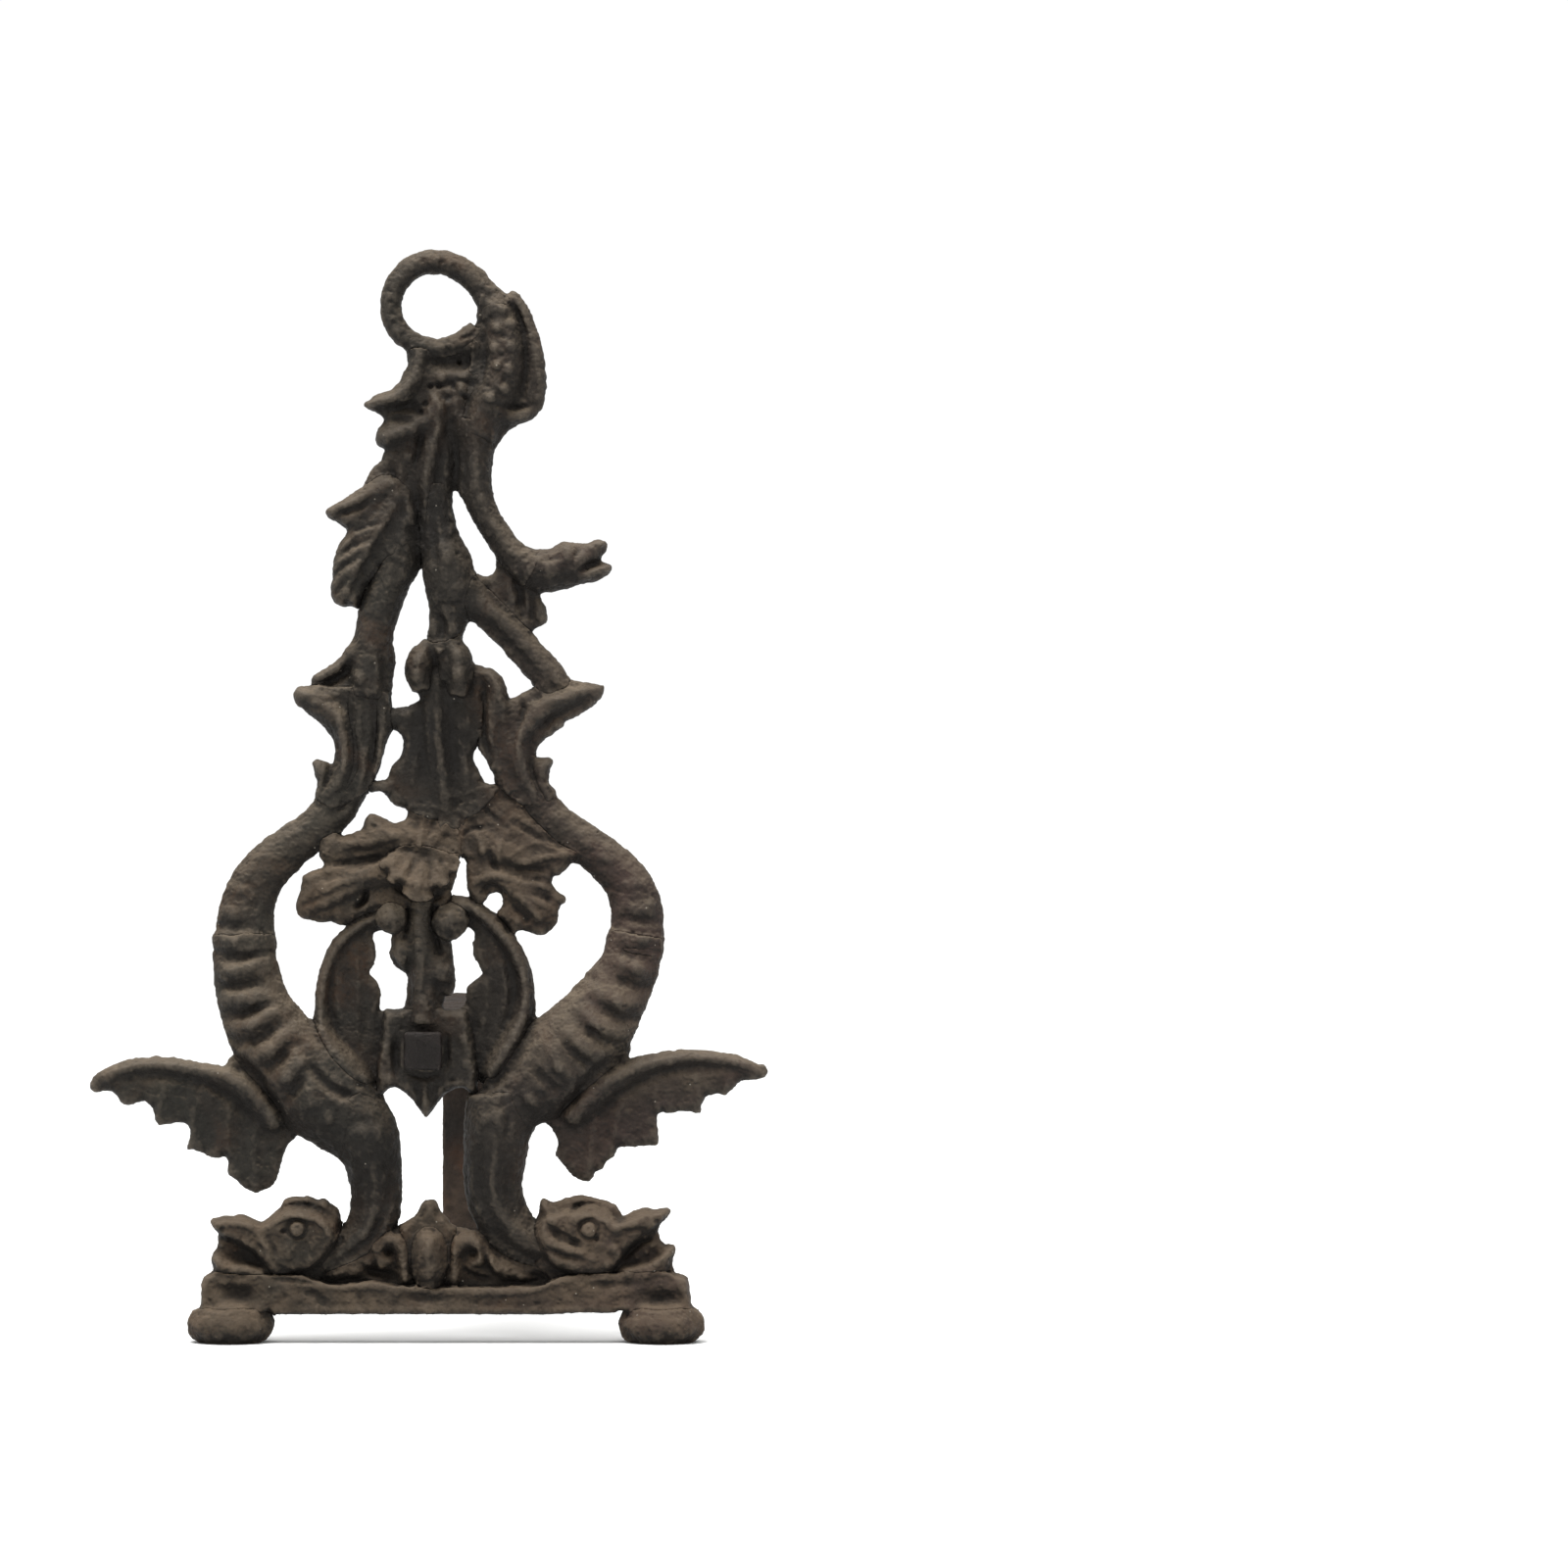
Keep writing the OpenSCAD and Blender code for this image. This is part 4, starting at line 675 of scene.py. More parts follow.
# Share of the drawn height that wear has left, where it isn't the usual one
LEFT = 0.8
LEFT_ON = {
    "centre_leaf": 0.3, "left_branch": 0.6, "wyvern_trunk": 0.7, "left_tail_leaf": 0.65,
    "right_tail_leaf": 0.65, "centre_stem": 0.7, "left_dragon_neck": 0.6, "right_dragon_neck": 0.6,
    "left_outer_wing": 0.7, "right_outer_wing": 0.7, "left_inner_wing": 0.55,
    "right_inner_wing": 0.5, "base_bar": 0.7, "wyvern_back": 0.9, "upper_left_leaf": 0.65,
    "cluster_front_lobe": 1.0, "cluster_left_leaf": 0.9, "cluster_right_leaf": 0.9,
    "left_dragon_body": 0.7, "right_dragon_body": 0.6,
}
# No groove leaves the metal thinner than this
THINNEST = 2.5

# Round bites out of an outline, or with a negative reach, round patches added to it:
# the middle x,z and the reach, in millimetres of the CAD frame
BITES = {
    "cluster_front_lobe": ((-14.5, 174.8, -2.6), (-12.0, 170.6, -2.4), (9.4, 175.6, -2.8),
                           (5.8, 169.6, -2.2), (-7.6, 166.2, -2.0), (-10.6, 166.6, 1.7),
                           (-15.8, 171.6, 1.5), (3.6, 165.0, 2.0), (9.2, 170.8, 1.6)),
    "centre_leaf": ((8.5, 190.5, -4.5),),
    "upper_left_leaf": ((-5.2, 297.0, 1.8), (-8.2, 287.6, 1.7), (-13.6, 281.4, 1.7),
                        (-19.4, 274.6, 1.8), (-36.2, 284.6, 1.4)),
    "tail_ring": ((19.3, 368.8, -2.6),),
    "right_outer_wing": ((122.4, 100.3, -1.6),),
}


def smooth_line(points, per_span=6):
    """Points along a smooth curve through given ones."""
    if len(points) < 3:
        return points
    ends = np.vstack([2 * points[0] - points[1], points, 2 * points[-1] - points[-2]])
    share = np.linspace(0, 1, per_span, endpoint=False)[:, None]
    spans = []
    for before, start, end, after in zip(ends[:-3], ends[1:-2], ends[2:-1], ends[3:]):
        bend = share * (3 * (start - end) + after - before)
        spans.append(start + 0.5 * share * (end - before + share * (
            2 * before - 5 * start + 4 * end - after + bend)))
    return np.vstack(spans + [points[-1:]])


def along_line(points, x, z):
    """Distance of each place from a line of points, and the share of the line before it."""
    nearest, share = np.full(x.shape, np.inf), np.zeros(x.shape)
    count = max(len(points) - 1, 1)
    for k, (start, end) in enumerate(zip(points, points[1:] if len(points) > 1 else points)):
        step = end - start
        t = ((x - start[0]) * step[0] + (z - start[1]) * step[1]) / max(step @ step, 1e-9)
        t = np.clip(t, 0, 1)
        gap = np.hypot(x - start[0] - t * step[0], z - start[1] - t * step[1])
        share = np.where(gap < nearest, (k + t) / count, share)
        nearest = np.minimum(nearest, gap)
    return nearest, share


PROFILES = {
    "ridge": lambda t: (1 - t * t) ** 2,
    "roll": lambda t: np.sqrt(1 - t * t),
    "groove": lambda t: -((1 - t * t) ** 2),
    "cut": lambda t: t - 1,
    "bump": lambda t: (1 - t * t) ** 2,
    "pit": lambda t: -((1 - t * t) ** 2),
}
# Share of a stroke over which each end fades, and the least that is left there
TAPER = 0.25
BLUNT = 0.15
# Radius of a ring, in its half widths
RING = 2.4


def stroke(line, x, z):
    """One line of RELIEF as heights over the places x, z."""
    kind, width, height, *places = line.split()
    width, height = float(width), float(height)
    points = np.array([[float(v) for v in place.split(",")] for place in places])
    if kind == "lift":
        return np.full(x.shape, height)
    if kind == "lean":
        step = points[1] - points[0]
        share = ((x - points[0, 0]) * step[0] + (z - points[0, 1]) * step[1]) / (step @ step)
        return height * np.clip(share, 0, 1)
    if kind == "ring":
        gap = np.abs(np.hypot(x - points[0, 0], z - points[0, 1]) - RING * width) / width
        return -height * (1 - np.clip(gap, 0, 1) ** 2) ** 2
    if kind in ("bump", "pit"):
        gap = np.min([np.hypot(x - a, z - b) for a, b in points], axis=0)
        ends = 1
    else:
        gap, share = along_line(smooth_line(points), x, z)
        ends = np.sqrt(np.clip(np.minimum(share, 1 - share) / TAPER, BLUNT, 1))
    return height * ends * PROFILES[kind](np.clip(gap / width, 0, 1))


def relief(node, across, up):
    """The node's drawn relief, in millimetres towards the viewer, in its window."""
    x, z = np.broadcast_arrays(*cell_places(across, up))
    lines = RELIEF.get(node, "").strip().splitlines()
    drawn = sum(stroke(line, x, z) for line in lines) + np.zeros(x.shape)
    return drawn * LEFT_ON.get(node, LEFT)


# Nodes that run into each other: no edge is rounded where they meet
JOINED = (
    ("left_dragon_tail", "left_dragon_body", "left_dragon_neck"),
    ("right_dragon_tail", "right_dragon_body", "right_dragon_neck"),
    ("wyvern_trunk", "wyvern_leg", "wyvern_neck", "left_branch", "tail_ring", "wyvern_back"),
    ("wyvern_neck", "wyvern_head"), ("wyvern_leg", "right_branch"), ("wyvern_leg", "wyvern_claw"),
    ("base_bar", "left_dragon_head", "right_dragon_head", "left_scroll", "right_scroll"),
    ("base_bar", "left_foot", "right_foot"),
    ("centre_leaf", "cluster_left_leaf", "cluster_right_leaf"),
    ("cluster_front_lobe", "cluster_left_leaf"), ("shield_boss", "centre_stem"),
    ("left_tail_leaf", "left_dragon_tail"), ("left_tail_leaf", "left_branch"),
    ("right_tail_leaf", "right_dragon_tail"),
    ("left_outer_wing", "left_dragon_body"), ("right_outer_wing", "right_dragon_body"),
)


# How steeply front and back close in on each other outside the rim
FALL = 3


def node_maps(node):
    """Front, back and rim distance of a node with rounded edges and relief, in its window."""
    across, up = window(node)
    front, back = depth_maps(node, across, up)
    mask = np.isfinite(front)
    rim = rim_distance(mask)
    whole = mask.copy()
    for other in {name for group in JOINED if node in group for name in group if name != node}:
        whole |= outlines[other][across, up]
    free = rim if whole.sum() == mask.sum() else rim_distance(whole)
    front, back = (extended(side, mask, 1.0 / CELL) for side in (front, back))
    cell_x, cell_z = cell_places(across, up)
    for x, z, reach in BITES.get(node, ()):
        disc = np.hypot(cell_x - x, cell_z - z)
        rim, free = (np.minimum(side, disc - reach) if reach > 0 else np.maximum(side, -reach - disc)
                     for side in (rim, free))
    middle, half = (front + back) / 2, (front - back) / 2
    edge = EDGES.get(node, EDGE)
    roll = np.sqrt(1 - (1 - np.clip(free / edge, 0, 1)) ** 2) if edge else 1
    drawn = np.maximum(relief(node, across, up), THINNEST - 2 * half)
    slope = np.minimum(rim, 0) * FALL
    return across, up, middle + (half + drawn) * roll + slope, middle - half * roll - slope, rim


# Steeper places than this count as this steep, so that noise doesn't draw them out into flakes
STEEPEST = 4.0


def node_volume(maps):
    """Signed distance, roughly, to a node's surface in its window, negative inside."""
    across, up, front, back, rim = maps
    volume = None
    for side, sign in ((front, 1), (back, -1)):
        rise = np.sqrt(1 + sum(g ** 2 for g in np.gradient(side, CELL)))[:, None, :]
        lift = sign * (HEIGHT[None, :, None] - side[:, None, :]) / np.minimum(rise, STEEPEST)
        volume = lift if volume is None else np.maximum(volume, lift)
    return np.maximum(volume, -rim[:, None, :]).astype(np.float32)


outlines = {}
for name in CASTING:
    across, up = window(name)
    outlines[name] = np.zeros((COUNT[0], COUNT[2]), bool)
    outlines[name][across, up] = np.isfinite(depth_maps(name, across, up)[0])
maps = {name: node_maps(name) for name in CASTING}
nearest = np.full(tuple(COUNT), REACH, np.float32)
metal = nearest.copy()
for name in CASTING:
    part = np.s_[maps[name][0], :, maps[name][1]]
    volume = node_volume(maps[name])
    nearest[part] = np.minimum(nearest[part], volume)
    near = np.clip(BLEND - np.abs(metal[part] - volume), 0, None)
    metal[part] = np.minimum(metal[part], volume) - near ** 2 / (4 * BLEND)

# Skin of the casting: waves of a fine and a coarse noise, this high in millimetres
ROUGH = 0.09
LUMPS = 0.12
everywhere = (slice(0, COUNT[0]), slice(0, COUNT[2]))
rough = ROUGH * tiled(noise_tile(128, 1.2, 3.0, 1), *everywhere)
lumps = LUMPS * tiled(noise_tile(160, 4.0, 12.0, 2), *everywhere)
metal = blurred(metal, 0.6)
metal += rough
metal += lumps
# The feet stand flat on the floor
metal = np.maximum(metal, -(GRID_LOW[2] + CELL * np.arange(COUNT[2])).astype(np.float32))

# Share of metal round each place, near and far, kept at every second cell
fill = blurred(np.clip(0.5 - metal, 0, 1), 0.8)[::2, ::2, ::2]
hollow_small = blurred(fill, 1.5)
hollow_large = blurred(fill, 4.5)


def sampled(values, places):
    """Values of a volume at places given in cells, blended between the eight cells round each."""
    base = np.floor(places).astype(int).clip(0, np.array(values.shape) - 2)
    share = places - base
    total = 0
    for corner in np.ndindex(2, 2, 2):
        weight = np.prod(np.where(corner, share, 1 - share), axis=1)
        total = total + weight * values[tuple((base + corner).T)]
    return total


def new_mesh(name, places, quads):
    """Mesh object from places in metres and quads of their numbers."""
    mesh = bpy.data.meshes.new(name)
    mesh.vertices.add(len(places))
    mesh.vertices.foreach_set("co", places.astype(np.float32).ravel())
    mesh.loops.add(quads.size)
    mesh.loops.foreach_set("vertex_index", quads.astype(np.int32).ravel())
    mesh.polygons.add(len(quads))
    mesh.polygons.foreach_set("loop_start", np.arange(len(quads), dtype=np.int32) * 4)
    mesh.polygons.foreach_set("use_smooth", np.ones(len(quads), bool))
    mesh.update(calc_edges=True)
    mesh.validate()
    piece = bpy.data.objects.new(name, mesh)
    bpy.context.scene.collection.objects.link(piece)
    return piece


def carve(node):
    """The piece that stands for a CAD node: its share of the metal, diving under its neighbours."""
    across, up = maps[node][:2]
    part = np.s_[across, :, up]
    own = metal[part] + DIVE * (node_volume(maps[node]) - nearest[part])
    grid = vdb.FloatGrid(REACH)
    grid.copyFromArray(np.ascontiguousarray(np.clip(own, -REACH, REACH), np.float32))
    cells, quads = grid.convertToQuads(0.0)
    cells = cells + (across.start, 0, up.start)
    piece = new_mesh("cast_" + node, (GRID_LOW + cells * CELL) * MM, quads)
    add_layer(piece.data, "hollow_small", sampled(hollow_small, cells / 2))
    add_layer(piece.data, "hollow_large", sampled(hollow_large, cells / 2))
    return piece


# Hardware: forged and machined parts grown from their CAD solids --------------------------------
def voxel_mesh(node, voxel):
    """Closed mesh of small even quads over a CAD node."""
    piece = bpy.data.objects.new(node + "_source", frame["nodes"][node].data.copy())
    bpy.context.scene.collection.objects.link(piece)
    remesh = piece.modifiers.new("voxels", "REMESH")
    remesh.mode, remesh.voxel_size = "VOXEL", voxel * MM
    shaped = piece.evaluated_get(bpy.context.evaluated_depsgraph_get())
    mesh = bpy.data.meshes.new_from_object(shaped)
    bpy.data.objects.remove(piece)
    return mesh


def neighbour_mean(places, edges):
    """Mean of each vertex's neighbours."""
    total, count = np.zeros_like(places), np.zeros(len(places))
    for one, other in (edges.T, edges.T[::-1]):
        np.add.at(total, one, places[other])
        np.add.at(count, one, 1)
    return total / count[:, None]


def forged(node, voxel, rounding, dents):
    """Piece with softened edges and a beaten skin; dents are (tile, depth in millimetres)."""
    mesh = voxel_mesh(node, voxel)
    places = of_vertices(mesh, "co") / MM
    edges = np.empty(len(mesh.edges) * 2, np.int32)
    mesh.edges.foreach_get("vertices", edges)
    edges = edges.reshape(-1, 2)
    for _ in range(rounding):
        places = (places + neighbour_mean(places, edges)) / 2
    mesh.vertices.foreach_set("co", (places * MM).ravel())
    mesh.update()
    normals = of_vertices(mesh, "normal")
    drop = -sum(depth * np.abs(sampled(tile, np.mod(places / CELL, len(tile) - 1)))
                for tile, depth in dents)
    places = places + normals * drop[:, None]
    mesh.vertices.foreach_set("co", (places * MM).ravel())
    mesh.polygons.foreach_set("use_smooth", np.ones(len(mesh.polygons), bool))
    mesh.update()
    mean = places
    for _ in range(4):
        mean = neighbour_mean(mean, edges)
    bend = np.sum((mean - places) * normals, axis=1) / voxel
    for label in ("hollow_small", "hollow_large"):
        add_layer(mesh, label, (0.5 + 0.25 * bend).clip(0, 1))
    piece = bpy.data.objects.new("forged_" + node, mesh)
    bpy.context.scene.collection.objects.link(piece)
    return piece


# Where soot lies thick, together with painted shade, and with less than nothing, where handling and
# dust have cleaned it, together with painted highlight: the middle x,z and reach in millimetres of
# the CAD frame, and how much
SOOT_AND_SHADE = (
    (-22, 58, 24, 1.1), (20, 58, 22, 0.9), (2, 220, 24, 1.0), (4, 325, 22, 0.8),
    (-24, 128, 14, 0.6), (25, 128, 14, 0.6), (-84, 82, 20, 0.55), (84, 80, 20, 0.15),
    (0, 298, 12, 0.9), (14, 268, 22, 0.3), (-47, 33, 9, 0.7), (-70, 33, 6, 0.7),
    (78, 33, 7, 0.6), (-2, 106, 17, 0.9), (6, 144, 9, 0.6), (-28, 168, 24, -0.8),
    (0, 173, 16, -0.9), (34, 168, 20, -0.6), (66, 116, 24, -0.7), (-60, 118, 22, -0.6),
    (0, 32, 20, -0.9), (-55, 42, 16, -0.7), (60, 42, 20, -0.8), (-74, 10, 20, -0.8),
    (86, 10, 22, -0.8), (-35, 18, 26, -0.7), (35, 18, 26, -0.7), (50, 235, 14, -0.8),
    (-42, 234, 10, -0.6), (-100, 104, 13, -0.8), (-74, 102, 12, -0.7), (100, 106, 13, -0.9),
    (74, 106, 12, -0.8),
)


def soot_and_shade(places):
    """How much soot and painted shade the iron has at each place, in metres; below nothing, cleaned
    iron and painted highlight.
    """
    x, z = places[:, 0] / MM, places[:, 2] / MM
    return sum(much * np.exp(-((x - a) ** 2 + (z - b) ** 2) / reach ** 2)
               for a, b, reach, much in SOOT_AND_SHADE)


SLOT_OF = {part["node"]: part["material_slot"] for part in frame["record"]["subparts"]}
pieces = {name: carve(name) for name in CASTING}
beaten, scaled = noise_tile(96, 6.0, 16.0, 3), noise_tile(96, 1.2, 3.0, 4)
pieces["square_bolt"] = forged("square_bolt", 0.4, 48, ((beaten, 0.22), (scaled, 0.08)))
for name in ("billet_bar", "rear_leg"):
    pieces[name] = forged(name, 0.9, 3, ((beaten, 0.2), (scaled, 0.09)))
for name, piece in pieces.items():
    # Soot and painted shade patches, and below nothing cleaned iron and painted highlight
    add_layer(piece.data, "soot_and_shade", soot_and_shade(of_vertices(piece.data, "co")))
    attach(piece, "root")
    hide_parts(name)


# Materials ------------------------------------------------------------------------------------
class Tree:
    """Short hand for building a node tree: each method adds one node and returns its output."""

    def __init__(self, name):
        self.material = bpy.data.materials.new(name)
        self.material.use_nodes = True
        self.tree = self.material.node_tree
        self.shader = self.tree.nodes["Principled BSDF"]
        self.place = self.add("ShaderNodeTexCoord").outputs["Object"]

    def add(self, kind, inputs=(), **settings):
        node = self.tree.nodes.new(kind)
        for key, value in settings.items():
            setattr(node, key, value)
        for key, value in dict(inputs).items():
            if isinstance(value, bpy.types.NodeSocket):
                self.tree.links.new(value, node.inputs[key])
            else:
                node.inputs[key].default_value = value
        return node

    def noise(self, size, detail=4.0, rough=0.55, warp=0.0):
        """Noise of a feature size in millimetres."""
        inputs = {"Vector": self.place, "Scale": 1 / (size * MM), "Detail": detail,
                  "Roughness": rough, "Distortion": warp}
        return self.add("ShaderNodeTexNoise", inputs).outputs[0]

    def attribute(self, name):
        return self.add("ShaderNodeAttribute", attribute_name=name).outputs["Fac"]

    def ramp(self, value, low, high, start=0.0, end=1.0):
        """Value from low to high turned into start to end, with nothing beyond."""
        inputs = {"Value": value, "From Min": low, "From Max": high, "To Min": start, "To Max": end}
        return self.add("ShaderNodeMapRange", inputs).outputs["Result"]

    def math(self, operation, one, other):
        return self.add("ShaderNodeMath", {0: one, 1: other}, operation=operation).outputs[0]

    def times(self, one, other):
        return self.math("MULTIPLY", one, other)

    def larger(self, one, other):
        return self.math("MAXIMUM", one, other)

    def mix(self, share, one, other, blend="MIX"):
        """Colour one turned towards colour other by a share."""
        node = self.add("ShaderNodeMix", data_type="RGBA", blend_type=blend)
        for index, value in ((0, share), (6, one), (7, other)):
            socket = node.inputs[index]
            if isinstance(value, bpy.types.NodeSocket):
                self.tree.links.new(value, socket)
            else:
                socket.default_value = (*value, 1) if index else value
        return node.outputs[2]

    def feed(self, socket, value):
        self.tree.links.new(value, self.shader.inputs[socket])

    def bump(self, height, depth, after=None):
        """Normal roughened by a height of 0 to 1 over a depth in millimetres."""
        inputs = {"Height": height, "Distance": depth * MM, "Strength": 1.0}
        if after is not None:
            inputs["Normal"] = after
        return self.add("ShaderNodeBump", inputs).outputs["Normal"]


def iron(name, skin, patch, worn_and_highlight, rust, dust_and_highlight, gloss, metallic):
    """Old iron: mottled skin, rust, dust with painted top light, soot and painted shade patches,
    painted shade below and dirt with painted shade in hollows, worn edges with painted highlight,
    pits and specks.
    """
    tree = Tree(name)
    grain = tree.noise(2.2, 6, 0.65)
    mottle = tree.noise(14, 5, 0.6, 0.4)
    stain = tree.noise(38, 4, 0.55, 0.8)
    fine = tree.noise(0.7, 3, 0.6)
    small, large = tree.attribute("hollow_small"), tree.attribute("hollow_large")
    colour = tree.mix(tree.ramp(mottle, 0.38, 0.66), skin, patch)
    colour = tree.mix(tree.ramp(grain, 0.35, 0.7, 0.0, 0.55), colour, DEEP)
    rusty = tree.times(tree.ramp(stain, 0.5, 0.66), tree.ramp(grain, 0.35, 0.6, 0.25, 1.0))
    colour = tree.mix(tree.times(rusty, 0.75), colour, rust)
    side = tree.add("ShaderNodeSeparateXYZ", {0: tree.place}).outputs[0]
    cool = tree.times(tree.ramp(side, 0.03, -0.05), tree.ramp(stain, 0.62, 0.42, 0.0, 0.6))
    colour = tree.mix(cool, colour, COOL)
    warm = tree.times(tree.ramp(side, 0.02, 0.08), tree.ramp(stain, 0.36, 0.58, 0.15, 0.75))
    colour = tree.mix(warm, colour, WARM)
    normal = tree.add("ShaderNodeNewGeometry").outputs["Normal"]
    rise = tree.add("ShaderNodeSeparateXYZ", {0: normal}).outputs[2]
    soot_and_shade_level = tree.attribute("soot_and_shade")
    # Dust on up-facing places, and a painted top light: tops turn lighter and browner
    dust_and_top_light = tree.times(tree.ramp(rise, 0.08, 0.8), tree.ramp(mottle, 0.3, 0.65, 0.45, 1.0))
    dust_and_top_light = tree.times(dust_and_top_light, tree.ramp(soot_and_shade_level, 0.9, -0.4, 0.35, 1.0))
    # Cleaned patches take the dust colour, also a painted highlight
    clean_and_highlight = tree.times(tree.ramp(soot_and_shade_level, 0.0, -1.0), tree.ramp(mottle, 0.35, 0.62, 0.1, 0.7))
    colour = tree.mix(tree.larger(dust_and_top_light, clean_and_highlight), colour, dust_and_highlight)
    # Painted shade: down-facing places turn near black, and soot and painted shade patches darker
    shade_below_and_soot = tree.larger(tree.ramp(rise, 0.12, -0.5, 0.0, 0.9), tree.ramp(soot_and_shade_level, 0.0, 0.9, 0.0, 0.8))
    colour = tree.mix(shade_below_and_soot, colour, DEEP)
    # Worn convex edges, also a painted highlight: edges turn lighter
    edge = tree.times(tree.ramp(small, 0.46, 0.3), tree.ramp(grain, 0.32, 0.62, 0.15, 0.85))
    colour = tree.mix(edge, colour, worn_and_highlight)
    # Dirt and painted shade in hollows: concave places turn darker
    hollow_dirt_and_shade = tree.larger(tree.ramp(small, 0.51, 0.66, 0, 0.8), tree.ramp(large, 0.50, 0.68, 0, 0.9))
    colour = tree.mix(hollow_dirt_and_shade, colour, DEEP)
    cells = tree.add("ShaderNodeTexVoronoi", {"Vector": tree.place, "Scale": 1 / (3.2 * MM)})
    lot = tree.add("ShaderNodeSeparateColor", {0: cells.outputs["Color"]}).outputs[0]
    chosen = tree.ramp(lot, 0.93, 0.94)
    speck = tree.times(chosen, tree.ramp(cells.outputs["Distance"], 0.11, 0.06))
    colour = tree.mix(tree.times(speck, 0.5), colour, CHALK)
    tree.feed("Base Color", colour)
    shine = tree.math("ADD", tree.ramp(grain, 0.3, 0.7, gloss - 0.1, gloss + 0.14),
                      tree.ramp(mottle, 0.35, 0.7, -0.05, 0.06))
    tree.feed("Roughness", tree.math("ADD", shine, tree.ramp(edge, 0.0, 1.0, 0.0, -0.08)))
    holes = tree.add("ShaderNodeTexVoronoi", {"Vector": tree.place, "Scale": 1 / (1.6 * MM)})
    pits = tree.ramp(holes.outputs["Distance"], 0.34, 0.05, 1.0, 0.0)
    bumped = tree.bump(pits, 0.14, tree.bump(grain, 0.42, tree.bump(fine, 0.18)))
    tree.feed("Normal", bumped)
    tree.shader.inputs["Metallic"].default_value = metallic
    tree.shader.inputs["Specular IOR Level"].default_value = 0.16
    return tree.material


# Near black: dark grain, and painted shade under things and in hollows
DEEP = (0.0050, 0.0041, 0.0033)
COOL = (0.018, 0.0178, 0.0140)
WARM = (0.038, 0.0240, 0.0208)
CHALK = (0.32, 0.29, 0.24)
# Dust colour, also used as painted top light and painted highlight
DUST_AND_HIGHLIGHT = (0.128, 0.099, 0.069)
RUST = (0.040, 0.0225, 0.013)
# For each slot: colours of the skin, its patches, worn edges with painted highlight, rust and dust
# with painted top light, roughness, metallic
LOOKS = {
    "dark_iron": ((0.0215, 0.0175, 0.0138), (0.031, 0.0250, 0.0190), (0.082, 0.067, 0.051),
                  RUST, DUST_AND_HIGHLIGHT, 0.66, 0.0),
    "brown_iron": ((0.028, 0.0205, 0.0145), (0.043, 0.0305, 0.0205), (0.100, 0.077, 0.055),
                   (0.052, 0.029, 0.016), (0.108, 0.079, 0.053), 0.72, 0.0),
    "bolt_iron": ((0.026, 0.0190, 0.0182), (0.037, 0.0270, 0.0250), (0.080, 0.063, 0.054),
                  RUST, (0.060, 0.048, 0.042), 0.55, 0.1),
    "wrought_iron": ((0.024, 0.0155, 0.0115), (0.038, 0.0225, 0.0150), (0.072, 0.052, 0.038),
                     (0.060, 0.029, 0.0150), (0.070, 0.048, 0.033), 0.70, 0.0),
}
FINISH = {name: iron(name, *look) for name, look in LOOKS.items()}
for name, piece in pieces.items():
    piece.data.materials.clear()
    piece.data.materials.append(FINISH[SLOT_OF[name]])

# Camera, floor and light ------------------------------------------------------------------------
# Width of the view at the shield's face, the middle of the view, and the camera's distance
VIEW_W = 0.5735
VIEW_X = 0.1303
VIEW_Z = 0.2045
VIEW_D = 2.4
FACE_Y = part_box("shield_boss")[0][1]

camera_data = bpy.data.cameras.new("camera")
camera_data.sensor_width = 36
camera_data.lens = camera_data.sensor_width * VIEW_D / VIEW_W
camera = bpy.data.objects.new("camera", camera_data)
camera.location = (VIEW_X, FACE_Y - VIEW_D, VIEW_Z)
camera.rotation_euler = (np.pi / 2, 0, 0)
bpy.context.scene.collection.objects.link(camera)
bpy.context.scene.camera = camera

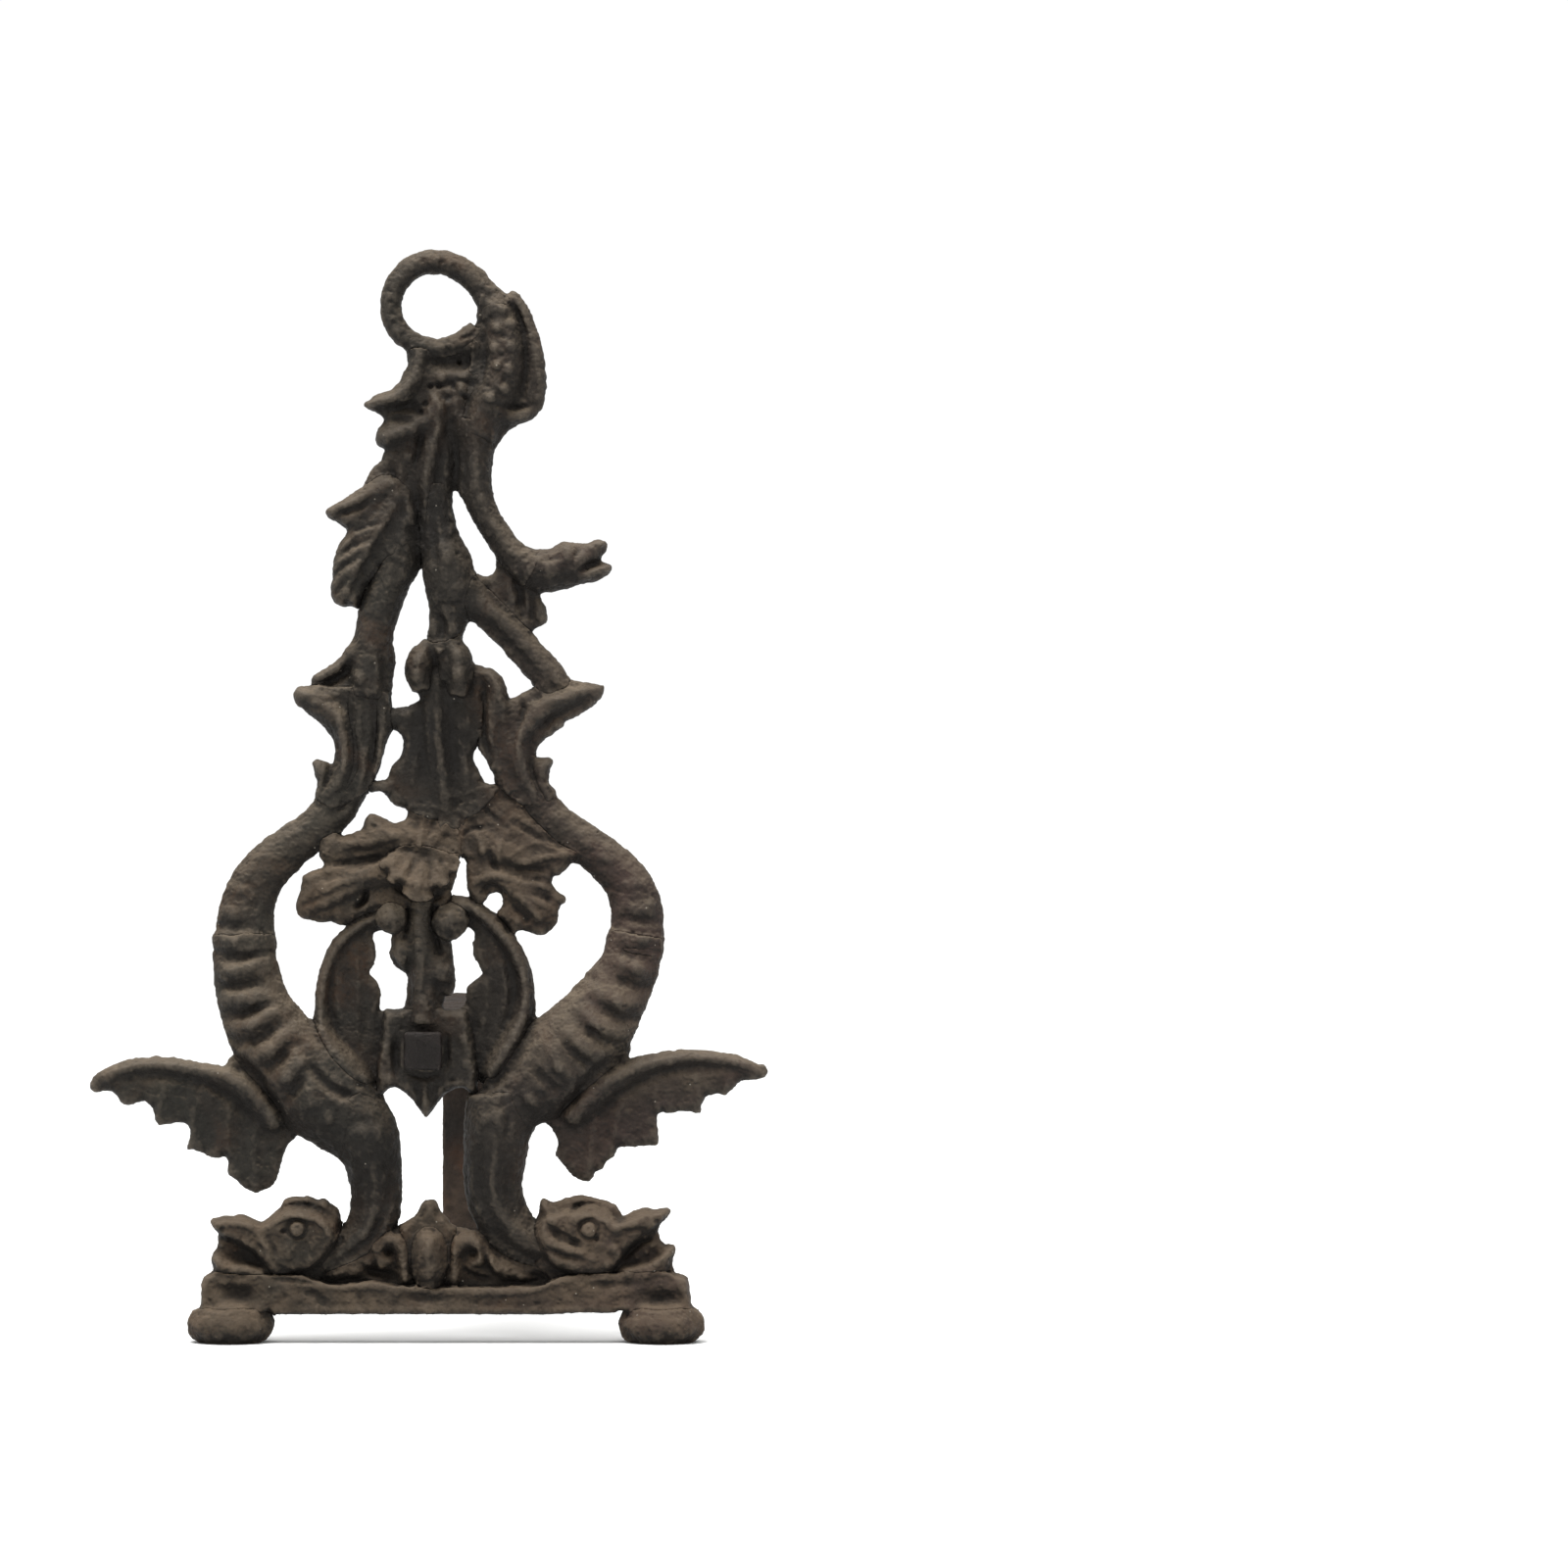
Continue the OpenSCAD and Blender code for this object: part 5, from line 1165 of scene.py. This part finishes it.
FLOOR_HALF = 25.0
floor_mesh = bpy.data.meshes.new("floor")
floor_corners = [(FLOOR_HALF * x, FLOOR_HALF * y, 0) for x, y in ((-1, -1), (1, -1), (1, 1), (-1, 1))]
floor_mesh.from_pydata(floor_corners, [], [(0, 1, 2, 3)])
floor = bpy.data.objects.new("floor", floor_mesh)
bpy.context.scene.collection.objects.link(floor)
pale = bpy.data.materials.new("pale_floor")
pale.use_nodes = True
coat = pale.node_tree.nodes["Principled BSDF"].inputs
coat["Base Color"].default_value = (0.84, 0.84, 0.83, 1)
coat["Roughness"].default_value = 0.9
coat["Specular IOR Level"].default_value = 0.0
floor_mesh.materials.append(pale)

# Studio round the object: sine of the height above the horizon, and how bright the room is there
ROOM = ((-0.30, 0.4), (-0.22, 1.03), (0.20, 1.03), (0.34, 0.30), (0.55, 0.35), (0.80, 2.0),
        (1.0, 2.4))
BRIGHTEST = max(level for _, level in ROOM)
world = bpy.data.worlds.new("studio")
world.use_nodes = True
sky = world.node_tree
direction = sky.nodes.new("ShaderNodeTexCoord")
split = sky.nodes.new("ShaderNodeSeparateXYZ")
share = sky.nodes.new("ShaderNodeMapRange")
share.inputs["From Min"].default_value = -1.0
levels = sky.nodes.new("ShaderNodeValToRGB")
while len(levels.color_ramp.elements) < len(ROOM):
    levels.color_ramp.elements.new(0.5)
for stop, (sine, level) in zip(levels.color_ramp.elements, ROOM):
    stop.position = (sine + 1) / 2
    stop.color = (level / BRIGHTEST,) * 3 + (1,)
sky.links.new(direction.outputs["Generated"], split.inputs[0])
sky.links.new(split.outputs[2], share.inputs["Value"])
sky.links.new(share.outputs["Result"], levels.inputs["Fac"])
sky.links.new(levels.outputs["Color"], sky.nodes["Background"].inputs["Color"])
sky.nodes["Background"].inputs["Strength"].default_value = BRIGHTEST
bpy.context.scene.world = world
bpy.context.scene.view_settings.view_transform = "Standard"


def lamp(name, place, aim, size, power):
    data = bpy.data.lights.new(name, "AREA")
    data.shape = "DISK"
    data.size = size
    data.energy = power
    light = bpy.data.objects.new(name, data)
    light.location = place
    light.rotation_euler = (Vector(aim) - Vector(place)).to_track_quat("-Z", "Y").to_euler()
    bpy.context.scene.collection.objects.link(light)


lamp("key", (-0.35, FACE_Y - 0.45, 1.8), (0, FACE_Y, 0.2), 0.9, 34)
